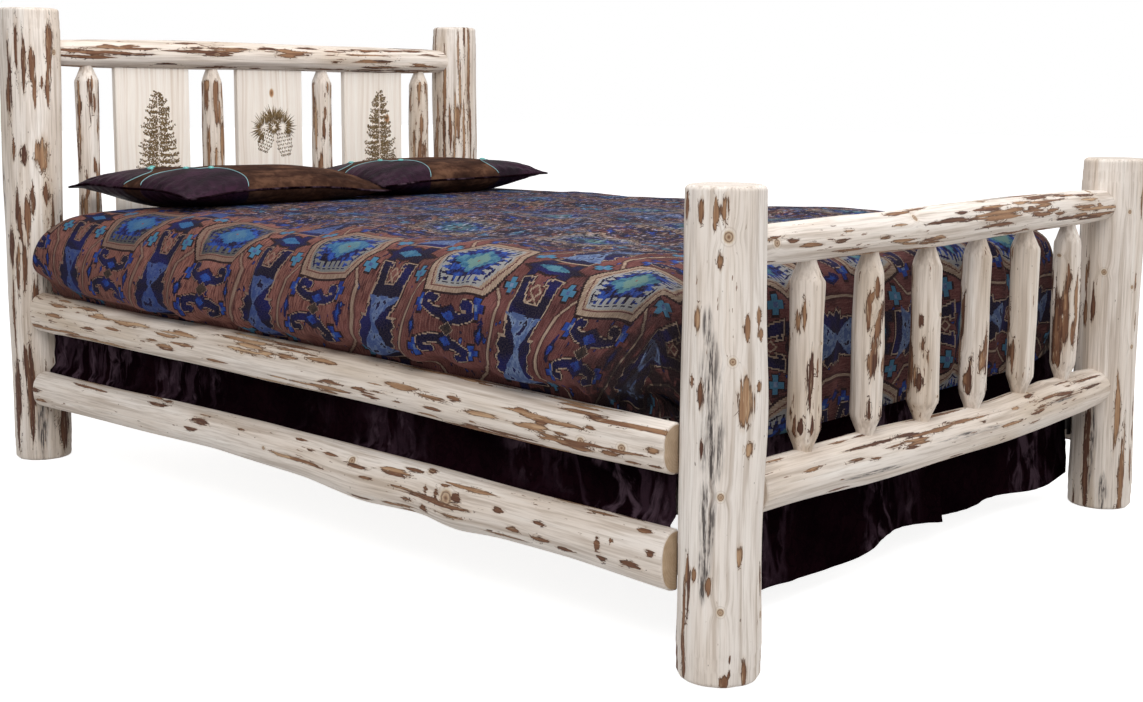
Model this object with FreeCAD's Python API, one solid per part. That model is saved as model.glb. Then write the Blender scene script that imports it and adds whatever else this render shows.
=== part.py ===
import FreeCAD, Part
import math
import os

V = FreeCAD.Vector

# A queen size log bed, in millimetres. Z is up, the head end is towards +Y, and the origin lies on
# the floor under the middle of the bed. Left and right are as seen from the foot end.

# The four posts, spaced from centre to centre
post_span_across = 1524.0
post_span_along = 2286.0
head_post_height = 1194.0
foot_post_height = 838.0
head_post_radius = 74.0
foot_post_radius = 71.0
post_edge = 6.0

# The round cross rails of the two ends, and the tenons that hold them in the posts
head_top_rail_height = 1081.0
head_lower_rail_height = 520.0
foot_top_rail_height = 729.0
foot_lower_rail_height = 301.0
head_rail_radius = 40.0
foot_top_rail_radius = 40.0
foot_lower_rail_radius = 47.0
rail_tenon_radius = 25.0
rail_tenon_length = 62.0
rail_shoulder = 26.0

# The hewn spindles
head_spindle_count = 4
foot_spindle_count = 6
head_spindle_radius = 31.0
foot_spindle_radius = 30.0
head_spindle_gap = 400.0
foot_spindle_gap = 209.0
spindle_tenon_radius = 16.0
spindle_tenon_length = 34.0
spindle_shoulder = 36.0

# The flat boards between the head spindles
panel_width = 235.0
panel_thickness = 19.0
panel_groove = 10.0
panel_edge = 2.0

# The half log side rails
rail_back_from_post = 24.0
rail_depth = 48.0
rail_end_gap = 2.0
rail_edge = 5.0
half_log_flats = 9
half_log_fullness_share = 0.85

# The angle brackets that hang the side rails on flats in the posts, with screws and lag bolts
seat_depth = 4.0
bracket_thickness = 5.0
bracket_height = 54.0
bracket_long_leg = 110.0
bracket_short_leg = 60.0
bracket_bend = 3.0
bracket_first_screw = 40.0
bracket_second_screw = 88.0
bracket_bolt_place = 30.0
screw_radius = 2.6
screw_length = 34.0
screw_head_radius = 5.5
screw_head_height = 3.2
bolt_radius = 5.0
bolt_length = 64.0
bolt_head_radius = 8.5
bolt_head_height = 5.5
hex_sides = 6
screw_sides = 8
bolt_sides = 12

# The support under the mattress
ledger_size = 38.0
ledger_height = 184.0
ledger_length = 1870.0
ledger_screw_gap = 560.0
ledger_screw_count = 4
slat_width = 89.0
slat_thickness = 19.0
slat_gap = 430.0
slat_count = 5
slat_end_gap = 3.0
beam_width = 38.0
beam_depth = 89.0
beam_length = 1870.0
leg_count = 2
leg_gap = 1000.0
leg_size = 38.0
leg_dowel_radius = 9.0
leg_dowel_length = 25.0

# The bedding
mattress_width = 1524.0
mattress_length = 2032.0
mattress_depth = 222.0
box_spring_depth = 178.0
mattress_corner = 55.0
mattress_edge = 16.0
deck_thickness = 1.5
skirt_thickness = 1.6
skirt_drop_foot = 358.0
skirt_drop_side = 172.0
skirt_top_out = 4.0
skirt_hem_out = 26.0
skirt_corner_out = 15.0
skirt_side_hem_out = 7.0
skirt_top_fold = 1.5
skirt_fold = 6.5
skirt_side_fold = 3.0
comforter_crown = 46.0
comforter_bulge = 78.0
comforter_foot_bulge = 37.0
comforter_head_overhang = 24.0
comforter_tuck_thickness = 17.0
comforter_corner = 90.0
corner_flats = 4
comforter_flap_drop = 78.0
comforter_flap_thickness = 13.0
comforter_flap_fold = 4.0
pillow_width = 700.0
pillow_length = 480.0
pillow_thickness = 122.0
pillow_gap = 8.0
pillow_from_head = 60.0
pillow_drawn_in = 22.0
pillow_side_flats = 5
pillow_seam_lift = 28.0
pillow_lean = 3.5

# Clearances
tenon_gap = 0.2
mortise_floor_gap = 2.0
shoulder_gap = 0.3
groove_gap = 0.3
screw_gap = 0.2
soft_gap = 0.3
overrun = 5.0
same_height = 0.01

# How each log swells and wanders: share of its length, share of its radius, and how far its
# centre strays to the side and upwards, or backwards on a post, as shares of its radius
post_head_left_shares = (
    (0.0, 1.01, 0.0, 0.0),
    (0.16, 0.99, 0.02, -0.01),
    (0.36, 0.98, -0.02, 0.02),
    (0.58, 1.0, -0.03, 0.01),
    (0.8, 1.03, 0.01, -0.02),
    (1.0, 1.04, 0.03, 0.0),
)
post_head_right_shares = (
    (0.0, 1.02, 0.01, 0.01),
    (0.22, 1.0, -0.02, 0.0),
    (0.42, 0.98, 0.01, -0.02),
    (0.66, 0.97, 0.02, 0.0),
    (0.84, 0.99, -0.01, 0.02),
    (1.0, 0.98, 0.0, 0.0),
)
post_foot_left_shares = (
    (0.0, 1.03, 0.0, 0.0),
    (0.14, 1.0, -0.01, 0.0),
    (0.28, 0.97, -0.02, 0.01),
    (0.44, 1.0, 0.01, 0.0),
    (0.56, 1.03, 0.04, -0.01),
    (0.64, 1.0, 0.02, 0.0),
    (0.82, 0.96, 0.0, 0.01),
    (1.0, 0.95, -0.01, 0.0),
)
post_foot_right_shares = (
    (0.0, 1.04, 0.01, -0.01),
    (0.2, 1.02, 0.0, 0.0),
    (0.4, 1.0, -0.02, 0.01),
    (0.6, 1.01, 0.0, 0.02),
    (0.82, 1.03, 0.02, 0.0),
    (1.0, 1.02, 0.01, 0.0),
)
head_top_rail_shares = (
    (0.0, 0.9, 0.0, -0.02),
    (0.14, 0.97, 0.03, 0.0),
    (0.34, 1.02, 0.0, 0.05),
    (0.56, 0.98, -0.04, 0.02),
    (0.78, 1.01, 0.02, -0.03),
    (1.0, 0.95, 0.0, 0.0),
)
head_lower_rail_shares = (
    (0.0, 1.0, 0.0, 0.0),
    (0.3, 1.03, -0.03, 0.03),
    (0.65, 0.98, 0.02, -0.02),
    (1.0, 0.96, 0.0, 0.0),
)
foot_top_rail_shares = (
    (0.0, 0.86, 0.0, 0.03),
    (0.1, 0.9, 0.0, 0.0),
    (0.26, 0.97, 0.03, -0.03),
    (0.42, 1.03, 0.0, -0.05),
    (0.6, 1.01, -0.03, 0.03),
    (0.8, 1.0, 0.02, 0.04),
    (1.0, 0.94, 0.0, 0.0),
)
foot_lower_rail_shares = (
    (0.0, 0.94, 0.0, 0.19),
    (0.12, 0.97, 0.0, 0.14),
    (0.28, 1.05, 0.03, -0.02),
    (0.46, 1.02, 0.0, -0.16),
    (0.64, 0.99, -0.03, -0.28),
    (0.8, 1.05, 0.02, -0.18),
    (1.0, 1.0, 0.0, -0.1),
)

# Each spindle's swell, from its lower shoulder to its upper one
spindle_shares = (
    ((0.0, 1.0), (0.45, 0.96), (1.0, 1.02)),
    ((0.0, 1.02), (0.5, 1.04), (1.0, 0.94)),
    ((0.0, 1.06), (0.4, 1.0), (1.0, 0.98)),
    ((0.0, 0.98), (0.6, 1.02), (1.0, 1.0)),
    ((0.0, 0.97), (0.5, 1.0), (1.0, 1.05)),
    ((0.0, 1.0), (0.55, 1.03), (1.0, 0.97)),
)
# The drawknife leaves flats. How far each corner between two flats stands out, corner by corner
# round the log. The four flats that face the neighbours have plain corners, so that joints seat.
log_outline_shares = (
    1.0, 1.02, 0.985, 1.01, 1.0,
    1.0, 0.98, 1.015, 1.02, 1.0,
    1.0, 1.01, 1.02, 0.98, 1.0,
    1.0, 0.99, 1.0, 1.02, 1.0,
)
spindle_outline_shares = (1.0, 1.04, 1.0, 1.0, 0.97, 1.0, 1.0, 1.03, 1.0, 1.0, 0.98, 1.0)
spindle_profile = (V(1, 0, 0), V(0, 1, 0), spindle_outline_shares)
# How the end of a rail rounds down to its tenon: share of the shoulder's length and of its height
shoulder_shares = ((0.0, 0.12), (0.3, 0.72), (1.0, 1.0))
# How a sawn end is eased: share of the edge's size inwards and along
ease_shares = ((1.0, 0.0), (0.3, 0.3), (0.0, 1.0))

# Side rails seen from outside: share of the length from foot to head, then the heights of the
# lower and upper edge above the floor
side_rail_upper_places = (
    (0.0, 337.0, 436.0),
    (0.14, 336.0, 442.0),
    (0.35, 344.0, 450.0),
    (0.6, 346.0, 454.0),
    (0.78, 347.0, 452.0),
    (1.0, 348.0, 458.0),
)
side_rail_lower_places = (
    (0.0, 131.0, 251.0),
    (0.1, 141.0, 251.0),
    (0.2, 139.0, 253.0),
    (0.255, 128.0, 256.0),
    (0.3, 143.0, 257.0),
    (0.385, 134.0, 257.0),
    (0.47, 152.0, 258.0),
    (0.63, 161.0, 257.0),
    (0.82, 153.0, 250.0),
    (1.0, 146.0, 248.0),
)

# The comforter from the tuck up: share of its height, then how far it has swelled at the sides
# and at the foot as shares of those bulges, and how far in from the edge it lies over the crown
comforter_side_shares = (
    (0.0, 0.23, 0.95),
    (0.16, 0.23, 0.97),
    (0.18, 0.7, 0.98),
    (0.225, 1.0, 1.0),
    (0.42, 1.0, 1.0),
    (0.74, 0.65, 0.85),
    (0.92, 0.35, 0.5),
    (1.0, 0.14, 0.3),
)
comforter_crown_shares = ((0.5, 0.045), (0.75, 0.16), (0.9, 0.34), (1.0, 0.7))
# The folds of the hanging cloth: places across each panel, and how deep each fold stands out or in
foot_fold_shares = (0.0, 0.16, 0.32, 0.44, 0.51, 0.57, 0.63, 0.78, 0.9, 1.0)
foot_depth_shares = (0.4, -0.3, 0.5, -0.6, 1.0, -1.0, 0.6, -0.4, 0.5)
side_fold_shares = (0.0, 0.16, 0.33, 0.5, 0.66, 0.83, 1.0)
side_depth_shares = (0.8, -0.6, 1.0, -0.8, 0.6, -0.7)
flap_fold_shares = (0.0, 0.14, 0.26, 0.4, 0.52, 0.66, 0.78, 0.9, 1.0)
flap_depth_shares = (0.6, -0.4, 0.5, -0.5, 0.6, -0.4, 0.5, -0.5)
# A pillow from its underside to its crown: share of half the thickness above or below the seam,
# and the share of the full outline at that height
pillow_rise_shares = (
    (-0.8, 0.58),
    (-0.66, 0.76),
    (-0.36, 0.92),
    (0.0, 1.0),
    (0.34, 0.93),
    (0.64, 0.8),
    (0.84, 0.62),
    (0.96, 0.4),
    (1.0, 0.16),
)

# Places that follow from the sizes above
post_x = post_span_across / 2
post_y = post_span_along / 2
rail_back_x = post_x + rail_back_from_post
foot_post_front = foot_post_radius - post_y
head_post_front = post_y - head_post_radius
rail_foot_y = foot_post_front + rail_end_gap
rail_head_y = head_post_front - rail_end_gap
slat_bottom = ledger_height + ledger_size
slat_top = slat_bottom + slat_thickness
box_spring_top = slat_top + box_spring_depth
deck_bottom = box_spring_top + soft_gap
mattress_bottom = deck_bottom + deck_thickness + soft_gap
mattress_top = mattress_bottom + mattress_depth
half_width = mattress_width / 2
half_length = mattress_length / 2
comforter_tuck = mattress_bottom + overrun + soft_gap
comforter_edge = mattress_top + soft_gap


def save(name, solids):
    shape = solids[0] if len(solids) == 1 else Part.makeCompound(solids)
    shape.exportStep("parts/" + name + ".step")


def block(x_low, x_high, y_low, y_high, z_low, z_high):
    corner = V(min(x_low, x_high), min(y_low, y_high), min(z_low, z_high))
    return Part.makeBox(abs(x_high - x_low), abs(y_high - y_low), abs(z_high - z_low), corner)


def upright_edges(solid):
    return [edge for edge in solid.Edges if edge.tangentAt(edge.FirstParameter).z]


def between(table, share, column):
    """The value of one column of a table of stations, at a share of the length."""
    for low, high in zip(table, table[1:]):
        if share <= high[0]:
            step = (share - low[0]) / (high[0] - low[0])
            return low[column] + step * (high[column] - low[column])
    return table[-1][column]


def hewn_ring(profile, centre, radius):
    """Corners round a log. The flats that face its sides, front and back lie at the radius."""
    side, back, outline = profile
    reach = radius / math.cos(math.pi / len(outline))
    points = []
    for number, share in enumerate(outline):
        angle = 2 * math.pi * (number + 0.5) / len(outline)
        spoke = side * math.cos(angle) + back * math.sin(angle)
        points.append(centre + spoke * (reach * share))
    return points


def faceted_solid(rings):
    """A closed solid of flats between rings of corners, which are all of one shape."""
    faces = []
    for ring in (rings[0], rings[-1]):
        faces.append(Part.Face(Part.makePolygon(ring + ring[:1])))
    for near, far in zip(rings, rings[1:]):
        for number, corner in enumerate(near):
            following = (number + 1) % len(near)
            flat = [corner, near[following], far[following], far[number], corner]
            faces.append(Part.Face(Part.makePolygon(flat)))
    shell = Part.makeShell(faces)
    shell.sewShape()
    return Part.makeSolid(shell)


class Log:
    """A peeled log of rings whose size and centre change a little along its length."""

    def __init__(self, start, end, radius, shares):
        self.start = start
        self.run = end - start
        self.length = self.run.Length
        self.along = V(self.run).normalize()
        self.side = V(0, 1, 0) if self.along.x else V(1, 0, 0)
        self.back = V(0, 1, 0) if self.along.z else V(0, 0, 1)
        self.profile = (self.side, self.back, log_outline_shares)
        self.radius = radius
        self.shares = shares

    def centre(self, share):
        side = self.side * (between(self.shares, share, 2) * self.radius)
        back = self.back * (between(self.shares, share, 3) * self.radius)
        return self.start + self.run * share + side + back

    def girth(self, share):
        return between(self.shares, share, 1) * self.radius

    def ring(self, share, radius):
        return hewn_ring(self.profile, self.centre(share), radius)

    def surface_above(self, share):
        """The height of the flat along the top of a rail, at a share of its length."""
        return self.centre(share).z + self.girth(share)

    def surface_below(self, share):
        return self.centre(share).z - self.girth(share)

    def share_at(self, x):
        return (x - self.start.x) / self.run.x


def log_body(log, low_end, high_end):
    """A log through its rings. Each end is a list of (distance in, drop in radius)."""
    rings = []
    for distance, drop in low_end:
        share = distance / log.length
        rings.append((share, log.girth(share) - drop))
    first = rings[-1][0]
    last = 1 - high_end[-1][0] / log.length
    rings += [(row[0], log.girth(row[0])) for row in log.shares if first < row[0] < last]
    for distance, drop in reversed(high_end):
        share = 1 - distance / log.length
        rings.append((share, log.girth(share) - drop))
    return faceted_solid([log.ring(*ring) for ring in rings])


def eased_end(edge):
    return [(edge * along, edge * inwards) for inwards, along in ease_shares]


def shouldered_end(log, end_share, shoulder, tenon_radius):
    """The rounded shoulder of a rail, from the tenon out to the full log."""
    full = log.girth(end_share)
    return [(shoulder * s, (full - tenon_radius) * (1 - height)) for s, height in shoulder_shares]


def bore(centre, direction, radius, depth):
    return Part.makeCylinder(radius, depth, centre, direction)


def make_post(place_x, place_y, height, radius, shares):
    return Log(V(place_x, place_y, 0), V(place_x, place_y, height), radius, shares)


def post_face(post, height, lip, inwards):
    """How far a post reaches towards the other post of its end, beside the lip of a rail."""
    faces = []
    for level in (height - lip, height, height + lip):
        share = level / post.length
        faces.append(inwards * post.centre(share).x + post.girth(share))
    return inwards * max(faces)


def make_rail(left_post, right_post, height, radius, shares):
    lip = rail_tenon_radius + shoulder_shares[0][1] * (radius - rail_tenon_radius)
    left = post_face(left_post, height + shares[0][3] * radius, lip, 1) + shoulder_gap
    right = post_face(right_post, height + shares[-1][3] * radius, lip, -1) - shoulder_gap
    place_y = left_post.start.y
    return Log(V(left, place_y, height), V(right, place_y, height), radius, shares)


def hewn_bar(profile, centre, way, radius, low, high):
    """A straight hewn bar along a way from a centre, from one distance to another."""
    ends = (centre + way * low, centre + way * high)
    return faceted_solid([hewn_ring(profile, end, radius) for end in ends])


def rail_ends(rail):
    """The centre of each end of a rail, and the way that its tenon points."""
    return (rail.centre(0), rail.along * -1), (rail.centre(1), rail.along)


def rail_solid(rail):
    """A rail with its rounded shoulders, and the tenons that go on from them."""
    low = shouldered_end(rail, 0, rail_shoulder, rail_tenon_radius)
    high = shouldered_end(rail, 1, rail_shoulder, rail_tenon_radius)
    body = log_body(rail, low, high)
    for centre, way in rail_ends(rail):
        body = body.fuse(hewn_bar(rail.profile, centre, way, rail_tenon_radius, 0, rail_tenon_length))
    return body


def rail_mortises(rail):
    """The holes that a rail's two tenons need in the posts."""
    depth = rail_tenon_length + mortise_floor_gap
    radius = rail_tenon_radius + tenon_gap
    return [hewn_bar(rail.profile, centre, way, radius, -overrun, depth) for centre, way in rail_ends(rail)]


def make_spindle(lower, upper, x):
    """The places where a spindle's shoulders meet the rails above and below it."""
    low = lower.surface_above(lower.share_at(x)) + shoulder_gap
    high = upper.surface_below(upper.share_at(x)) - shoulder_gap
    return V(x, lower.start.y, low), V(x, lower.start.y, high)


def spindle_solid(low, high, radius, shares):
    """A spindle from the end of its lower tenon to the end of its upper one."""
    tenon = V(0, 0, spindle_tenon_length)
    rings = [(low - tenon, spindle_tenon_radius), (low, spindle_tenon_radius)]
    body_length = high.z - low.z - 2 * spindle_shoulder
    for share, swell in shares:
        rings.append((low + V(0, 0, spindle_shoulder + share * body_length), radius * swell))
    rings += [(high, spindle_tenon_radius), (high + tenon, spindle_tenon_radius)]
    return faceted_solid([hewn_ring(spindle_profile, *ring) for ring in rings])


def spindle_mortises(low, high):
    depth = spindle_tenon_length + mortise_floor_gap
    radius = spindle_tenon_radius + tenon_gap
    down = hewn_bar(spindle_profile, low, V(0, 0, -1), radius, -overrun, depth)
    up = hewn_bar(spindle_profile, high, V(0, 0, 1), radius, -overrun, depth)
    return down, up


def spindle_row(end, lower, upper, count, gap, radius):
    """Saves the spindles of one end, and returns the holes for the lower and the upper rail."""
    lower_holes = []
    upper_holes = []
    for number in range(count):
        low, high = make_spindle(lower, upper, (number - (count - 1) / 2) * gap)
        shares = spindle_shares[number % len(spindle_shares)]
        save("%s_spindle_%d" % (end, number + 1), [spindle_solid(low, high, radius, shares)])
        down, up = spindle_mortises(low, high)
        lower_holes.append(down)
        upper_holes.append(up)
    return lower_holes, upper_holes


def panel_places(lower, upper, x):
    """The floors of the two grooves that hold a panel."""
    low = lower.surface_above(lower.share_at(x)) - panel_groove
    high = upper.surface_below(upper.share_at(x)) + panel_groove
    return low, high


def panel_solid(x, place_y, low, high):
    side = panel_width / 2
    front = panel_thickness / 2
    board = block(x - side, x + side, place_y - front, place_y + front, low + groove_gap, high - groove_gap)
    return board.makeChamfer(panel_edge, upright_edges(board))


def panel_groove_solid(x, place_y, floor, way):
    side = panel_width / 2 + groove_gap
    front = panel_thickness / 2 + groove_gap
    deep = panel_groove + 2 * overrun
    return block(x - side, x + side, place_y - front, place_y + front, floor, floor + way * deep)


def half_log_ring(side, y, low, high, depth):
    """A round front that stands out by the depth, and a back that is sawn flat afterwards."""
    back = side * rail_back_x
    inside = side * (rail_back_x - overrun)
    middle = (low + high) / 2
    corners = []
    for number in range(half_log_flats + 1):
        angle = math.pi * (number / half_log_flats - 0.5)
        out = depth * math.cos(angle) ** half_log_fullness_share
        corners.append(V(back + side * out, y, middle + (high - low) / 2 * math.sin(angle)))
    corners += [V(inside, y, high), V(inside, y, low)]
    return Part.makePolygon(corners + corners[:1])


def side_rail_solid(side, places):
    """A half log from the foot end to the head end, with its sawn ends eased."""
    length = rail_head_y - rail_foot_y
    foot_ease = [(rail_edge * along, rail_edge * inwards) for inwards, along in ease_shares]
    head_ease = [(length - place, drop) for place, drop in reversed(foot_ease)]
    inner = [(row[0] * length, 0) for row in places if rail_edge < row[0] * length < length - rail_edge]
    wires = []
    for place, drop in foot_ease + inner + head_ease:
        low = between(places, place / length, 1) + drop
        high = between(places, place / length, 2) - drop
        wires.append(half_log_ring(side, rail_foot_y + place, low, high, rail_depth - drop))
    log = Part.makeLoft(wires, True, True)
    back = side * rail_back_x
    low = min(row[1] for row in places) - overrun
    high = max(row[2] for row in places) + overrun
    waste = block(back, back - side * 2 * overrun, rail_foot_y - overrun, rail_head_y + overrun, low, high)
    return log.cut(waste)


class Bracket:
    """The places of one angle bracket: it hangs one end of a side rail on a flat in the post."""

    def __init__(self, side, end, places):
        share = 0 if end < 0 else 1
        self.side = side
        self.end = end
        self.middle = (between(places, share, 1) + between(places, share, 2)) / 2
        self.low = self.middle - bracket_height / 2
        self.high = self.middle + bracket_height / 2
        self.rail_end = rail_foot_y if end < 0 else rail_head_y
        self.seat = (foot_post_front if end < 0 else head_post_front) + end * seat_depth
        self.back = side * rail_back_x
        self.tip = side * (rail_back_x - bracket_short_leg)

    def plate(self):
        front = self.back - self.side * bracket_thickness
        inner = self.seat - self.end * bracket_thickness
        far = self.rail_end - self.end * bracket_long_leg
        long_leg = block(self.back, front, self.seat, far, self.low, self.high)
        short_leg = block(self.back, self.tip, self.seat, inner, self.low, self.high)
        plate = long_leg.fuse(short_leg).removeSplitter()
        outer_bend = bracket_bend + bracket_thickness
        for x, y, radius in ((self.back, self.seat, outer_bend), (front, inner, bracket_bend)):
            corner = V(x, y, self.middle)
            bend = [e for e in plate.Edges if e.CenterOfMass.distanceToPoint(corner) < bracket_bend]
            plate = plate.makeFillet(radius, bend)
        return plate

    def post_flat(self):
        """What is milled off the post, so that the bracket sits flat on it."""
        out = self.end * (rail_end_gap + overrun)
        margin = self.side * overrun
        low = self.low - overrun
        high = self.high + overrun
        return block(self.back + margin, self.tip - margin, self.seat, self.rail_end - out, low, high)

    def screw_places(self):
        """Where the heads of the screws into the rail sit, and the way that they point."""
        x = self.back - self.side * bracket_thickness
        rows = (bracket_first_screw, bracket_second_screw)
        return [(V(x, self.rail_end - self.end * row, self.middle), V(self.side, 0, 0)) for row in rows]

    def bolt_place(self):
        x = self.back - self.side * bracket_bolt_place
        y = self.seat - self.end * bracket_thickness
        return V(x, y, self.middle), V(0, self.end, 0)


def prism(place, way, radius, length, sides):
    """A straight bar of flats round a line that points along X or Y."""
    level = V(way.y, way.x, 0)
    corners = []
    for number in range(sides + 1):
        angle = 2 * math.pi * number / sides
        corners.append(place + (level * math.cos(angle) + V(0, 0, 1) * math.sin(angle)) * radius)
    return Part.Face(Part.makePolygon(corners)).extrude(way * length)


def screw_solid(place, way, length):
    """A hex head wood screw, whose thin shank is drawn with few sides."""
    head = prism(place, way * -1, screw_head_radius, screw_head_height, hex_sides)
    return head.fuse(prism(place, way, screw_radius, length, screw_sides))


def screw_hole(place, way, length):
    start = place - way * overrun
    return prism(start, way, screw_radius + screw_gap, length + overrun + mortise_floor_gap, screw_sides)


def bolt_solid(place, way):
    head = prism(place, way * -1, bolt_head_radius, bolt_head_height, hex_sides)
    return head.fuse(prism(place, way, bolt_radius, bolt_length, bolt_sides))


def bolt_hole(place, way):
    start = place - way * overrun
    length = bolt_length + overrun + mortise_floor_gap
    return prism(start, way, bolt_radius + screw_gap, length, bolt_sides)


def rounded_box(extra, low, high):
    """The mattress's outline grown by a clearance, with its upright corners rounded."""
    x = half_width + extra
    y = half_length + extra
    solid = block(-x, x, -y, y, low, high)
    return solid.makeFillet(mattress_corner + extra, upright_edges(solid))


def soften(solid, heights, size):
    """Takes the edge off the outlines that lie at the given heights."""
    edges = []
    for edge in solid.Edges:
        box = edge.BoundBox
        level = box.ZLength < same_height
        if level and min(abs(box.ZMin - height) for height in heights) < same_height:
            edges.append(edge)
    return solid.makeChamfer(size, edges)


def rounded_outline(x, y_low, y_high, radius, z):
    """Corners of a level rectangle, whose four round corners are turned in short flats."""
    points = []
    corners = ((x, y_low, -90), (x, y_high, 0), (-x, y_high, 90), (-x, y_low, 180))
    for corner_x, corner_y, first in corners:
        centre = V(corner_x - math.copysign(radius, corner_x), corner_y - math.copysign(radius, corner_y), z)
        for step in range(corner_flats + 1):
            angle = math.radians(first + 90 * step / corner_flats)
            points.append(centre + V(math.cos(angle), math.sin(angle), 0) * radius)
    return points


def comforter_cap():
    """The comforter's outside as a lid: it swells over the side rails and crowns over the bed."""
    rise = comforter_edge - comforter_tuck
    rings = []
    for height, side, foot in comforter_side_shares:
        x = half_width + comforter_bulge * side
        y_foot = -half_length - comforter_foot_bulge * foot
        y_head = half_length + comforter_head_overhang * min(1, 2 * side)
        z = comforter_tuck + rise * height
        rings.append(rounded_outline(x, y_foot, y_head, comforter_corner, z))
    for height, inwards in comforter_crown_shares:
        x = half_width * (1 - inwards)
        y = half_length * (1 - inwards)
        z = comforter_edge + comforter_crown * height
        rings.append(rounded_outline(x, -y, y, comforter_corner, z))
    return faceted_solid(rings)


def folded_strip(low, high, out, depth, folds, depths, thickness):
    """A level closed strip of cloth whose two faces are the same row of arcs, in local sizes."""
    def face(offset):
        edges = []
        places = [low + (high - low) * share for share in folds]
        for left, right, fold in zip(places, places[1:], depths):
            middle = (left + right) / 2
            ends = [(left, out + offset), (middle, out + offset + depth * fold), (right, out + offset)]
            edges.append(ends)
        return edges
    return face(0), face(thickness)


def strip_wire(strip, place):
    """Turns a local strip into a closed wire, with the help of a function that places a point."""
    inner, outer = strip
    edges = [Part.Arc(*[place(u, v) for u, v in ends]).toShape() for ends in inner]
    edges.append(Part.makeLine(place(*inner[-1][2]), place(*outer[-1][2])))
    for ends in reversed(outer):
        edges.append(Part.Arc(*[place(u, v) for u, v in reversed(ends)]).toShape())
    edges.append(Part.makeLine(place(*outer[0][0]), place(*inner[0][0])))
    return Part.Wire(edges)


def hanging_cloth(top, hem, folds, depths, thickness, along, way):
    """Cloth between a top and a hem, each given as half its width, its height, how far it stands
    out and the depth of its folds. It runs along X or Y, and faces a way."""
    wires = []
    for half, z, out, depth in (top, hem):
        strip = folded_strip(-half, half, out, depth, folds, depths, thickness)
        if along == "x":
            wires.append(strip_wire(strip, lambda u, v: V(u, way * (half_length + v), z)))
        else:
            wires.append(strip_wire(strip, lambda u, v: V(way * (half_width + v), u, z)))
    return Part.makeLoft(wires, True, True)


def pillow_ring(centre, scale):
    """Corners of a level outline whose four sides draw in between its pointed corners."""
    x = pillow_width / 2
    y = pillow_length / 2
    points = []
    for start, end, inwards in (
        (V(-x, -y, 0), V(x, -y, 0), V(0, 1, 0)),
        (V(x, -y, 0), V(x, y, 0), V(-1, 0, 0)),
        (V(x, y, 0), V(-x, y, 0), V(0, -1, 0)),
        (V(-x, y, 0), V(-x, -y, 0), V(1, 0, 0)),
    ):
        for step in range(pillow_side_flats):
            share = step / pillow_side_flats
            drawn = inwards * (pillow_drawn_in * math.sin(math.pi * share))
            points.append(centre + (start + (end - start) * share + drawn) * scale)
    return points


def pillow_body(x_middle):
    """A pillow that crowns in the middle and leans down towards the head end with the comforter."""
    seam = comforter_edge + comforter_crown + pillow_seam_lift
    y_middle = half_length + pillow_from_head - pillow_length / 2
    rings = []
    for rise, scale in pillow_rise_shares:
        rings.append(pillow_ring(V(x_middle, y_middle, seam + rise * pillow_thickness / 2), scale))
    return faceted_solid(rings).rotate(V(x_middle, y_middle, seam), V(1, 0, 0), -pillow_lean)


def cut_all(solid, tools):
    return solid.cut(Part.makeCompound(tools))


def head_end(left, right):
    """The headboard: two rails, spindles and boards. Returns the holes for the posts."""
    top = make_rail(left, right, head_top_rail_height, head_rail_radius, head_top_rail_shares)
    lower = make_rail(left, right, head_lower_rail_height, head_rail_radius, head_lower_rail_shares)
    size = (head_spindle_count, head_spindle_gap, head_spindle_radius)
    lower_cuts, top_cuts = spindle_row("head", lower, top, *size)
    names = ("left", "centre", "right")
    for number, name in enumerate(names):
        x = (number - (len(names) - 1) / 2) * head_spindle_gap
        low, high = panel_places(lower, top, x)
        save("head_panel_" + name, [panel_solid(x, post_y, low, high)])
        lower_cuts.append(panel_groove_solid(x, post_y, low, 1))
        top_cuts.append(panel_groove_solid(x, post_y, high, -1))
    save("head_top_rail", [cut_all(rail_solid(top), top_cuts)])
    save("head_lower_rail", [cut_all(rail_solid(lower), lower_cuts)])
    return rail_mortises(top) + rail_mortises(lower)


def foot_end(left, right):
    """The footboard: two rails and a row of spindles. Returns the holes for the posts."""
    top = make_rail(left, right, foot_top_rail_height, foot_top_rail_radius, foot_top_rail_shares)
    radius = foot_lower_rail_radius
    lower = make_rail(left, right, foot_lower_rail_height, radius, foot_lower_rail_shares)
    size = (foot_spindle_count, foot_spindle_gap, foot_spindle_radius)
    lower_cuts, top_cuts = spindle_row("foot", lower, top, *size)
    save("foot_top_rail", [cut_all(rail_solid(top), top_cuts)])
    save("foot_lower_rail", [cut_all(rail_solid(lower), lower_cuts)])
    return rail_mortises(top) + rail_mortises(lower)


def side_rails_and_brackets():
    """The four half log rails and the brackets that hang them. Returns the cuts for the posts."""
    screws = []
    bolts = []
    post_cuts = []
    for side, hand in ((-1, "left"), (1, "right")):
        plates = []
        for level, places in (("upper", side_rail_upper_places), ("lower", side_rail_lower_places)):
            rail_cuts = []
            for end in (-1, 1):
                bracket = Bracket(side, end, places)
                holes = []
                for place, way in bracket.screw_places():
                    screws.append(screw_solid(place, way, screw_length))
                    holes.append(screw_hole(place, way, screw_length))
                rail_cuts += holes
                bolts.append(bolt_solid(*bracket.bolt_place()))
                holes.append(bolt_hole(*bracket.bolt_place()))
                post_cuts += [bracket.post_flat(), holes[-1]]
                plates.append(cut_all(bracket.plate(), holes))
            if level == "lower":
                for place, way in ledger_screw_places(side):
                    rail_cuts.append(screw_hole(place, way, ledger_size + screw_length))
            rail = cut_all(side_rail_solid(side, places), rail_cuts)
            save("side_rail_%s_%s" % (level, hand), [rail])
        save("rail_brackets_" + hand, plates)
    save("bracket_screws", screws)
    save("bracket_bolts", bolts)
    return post_cuts


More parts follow.
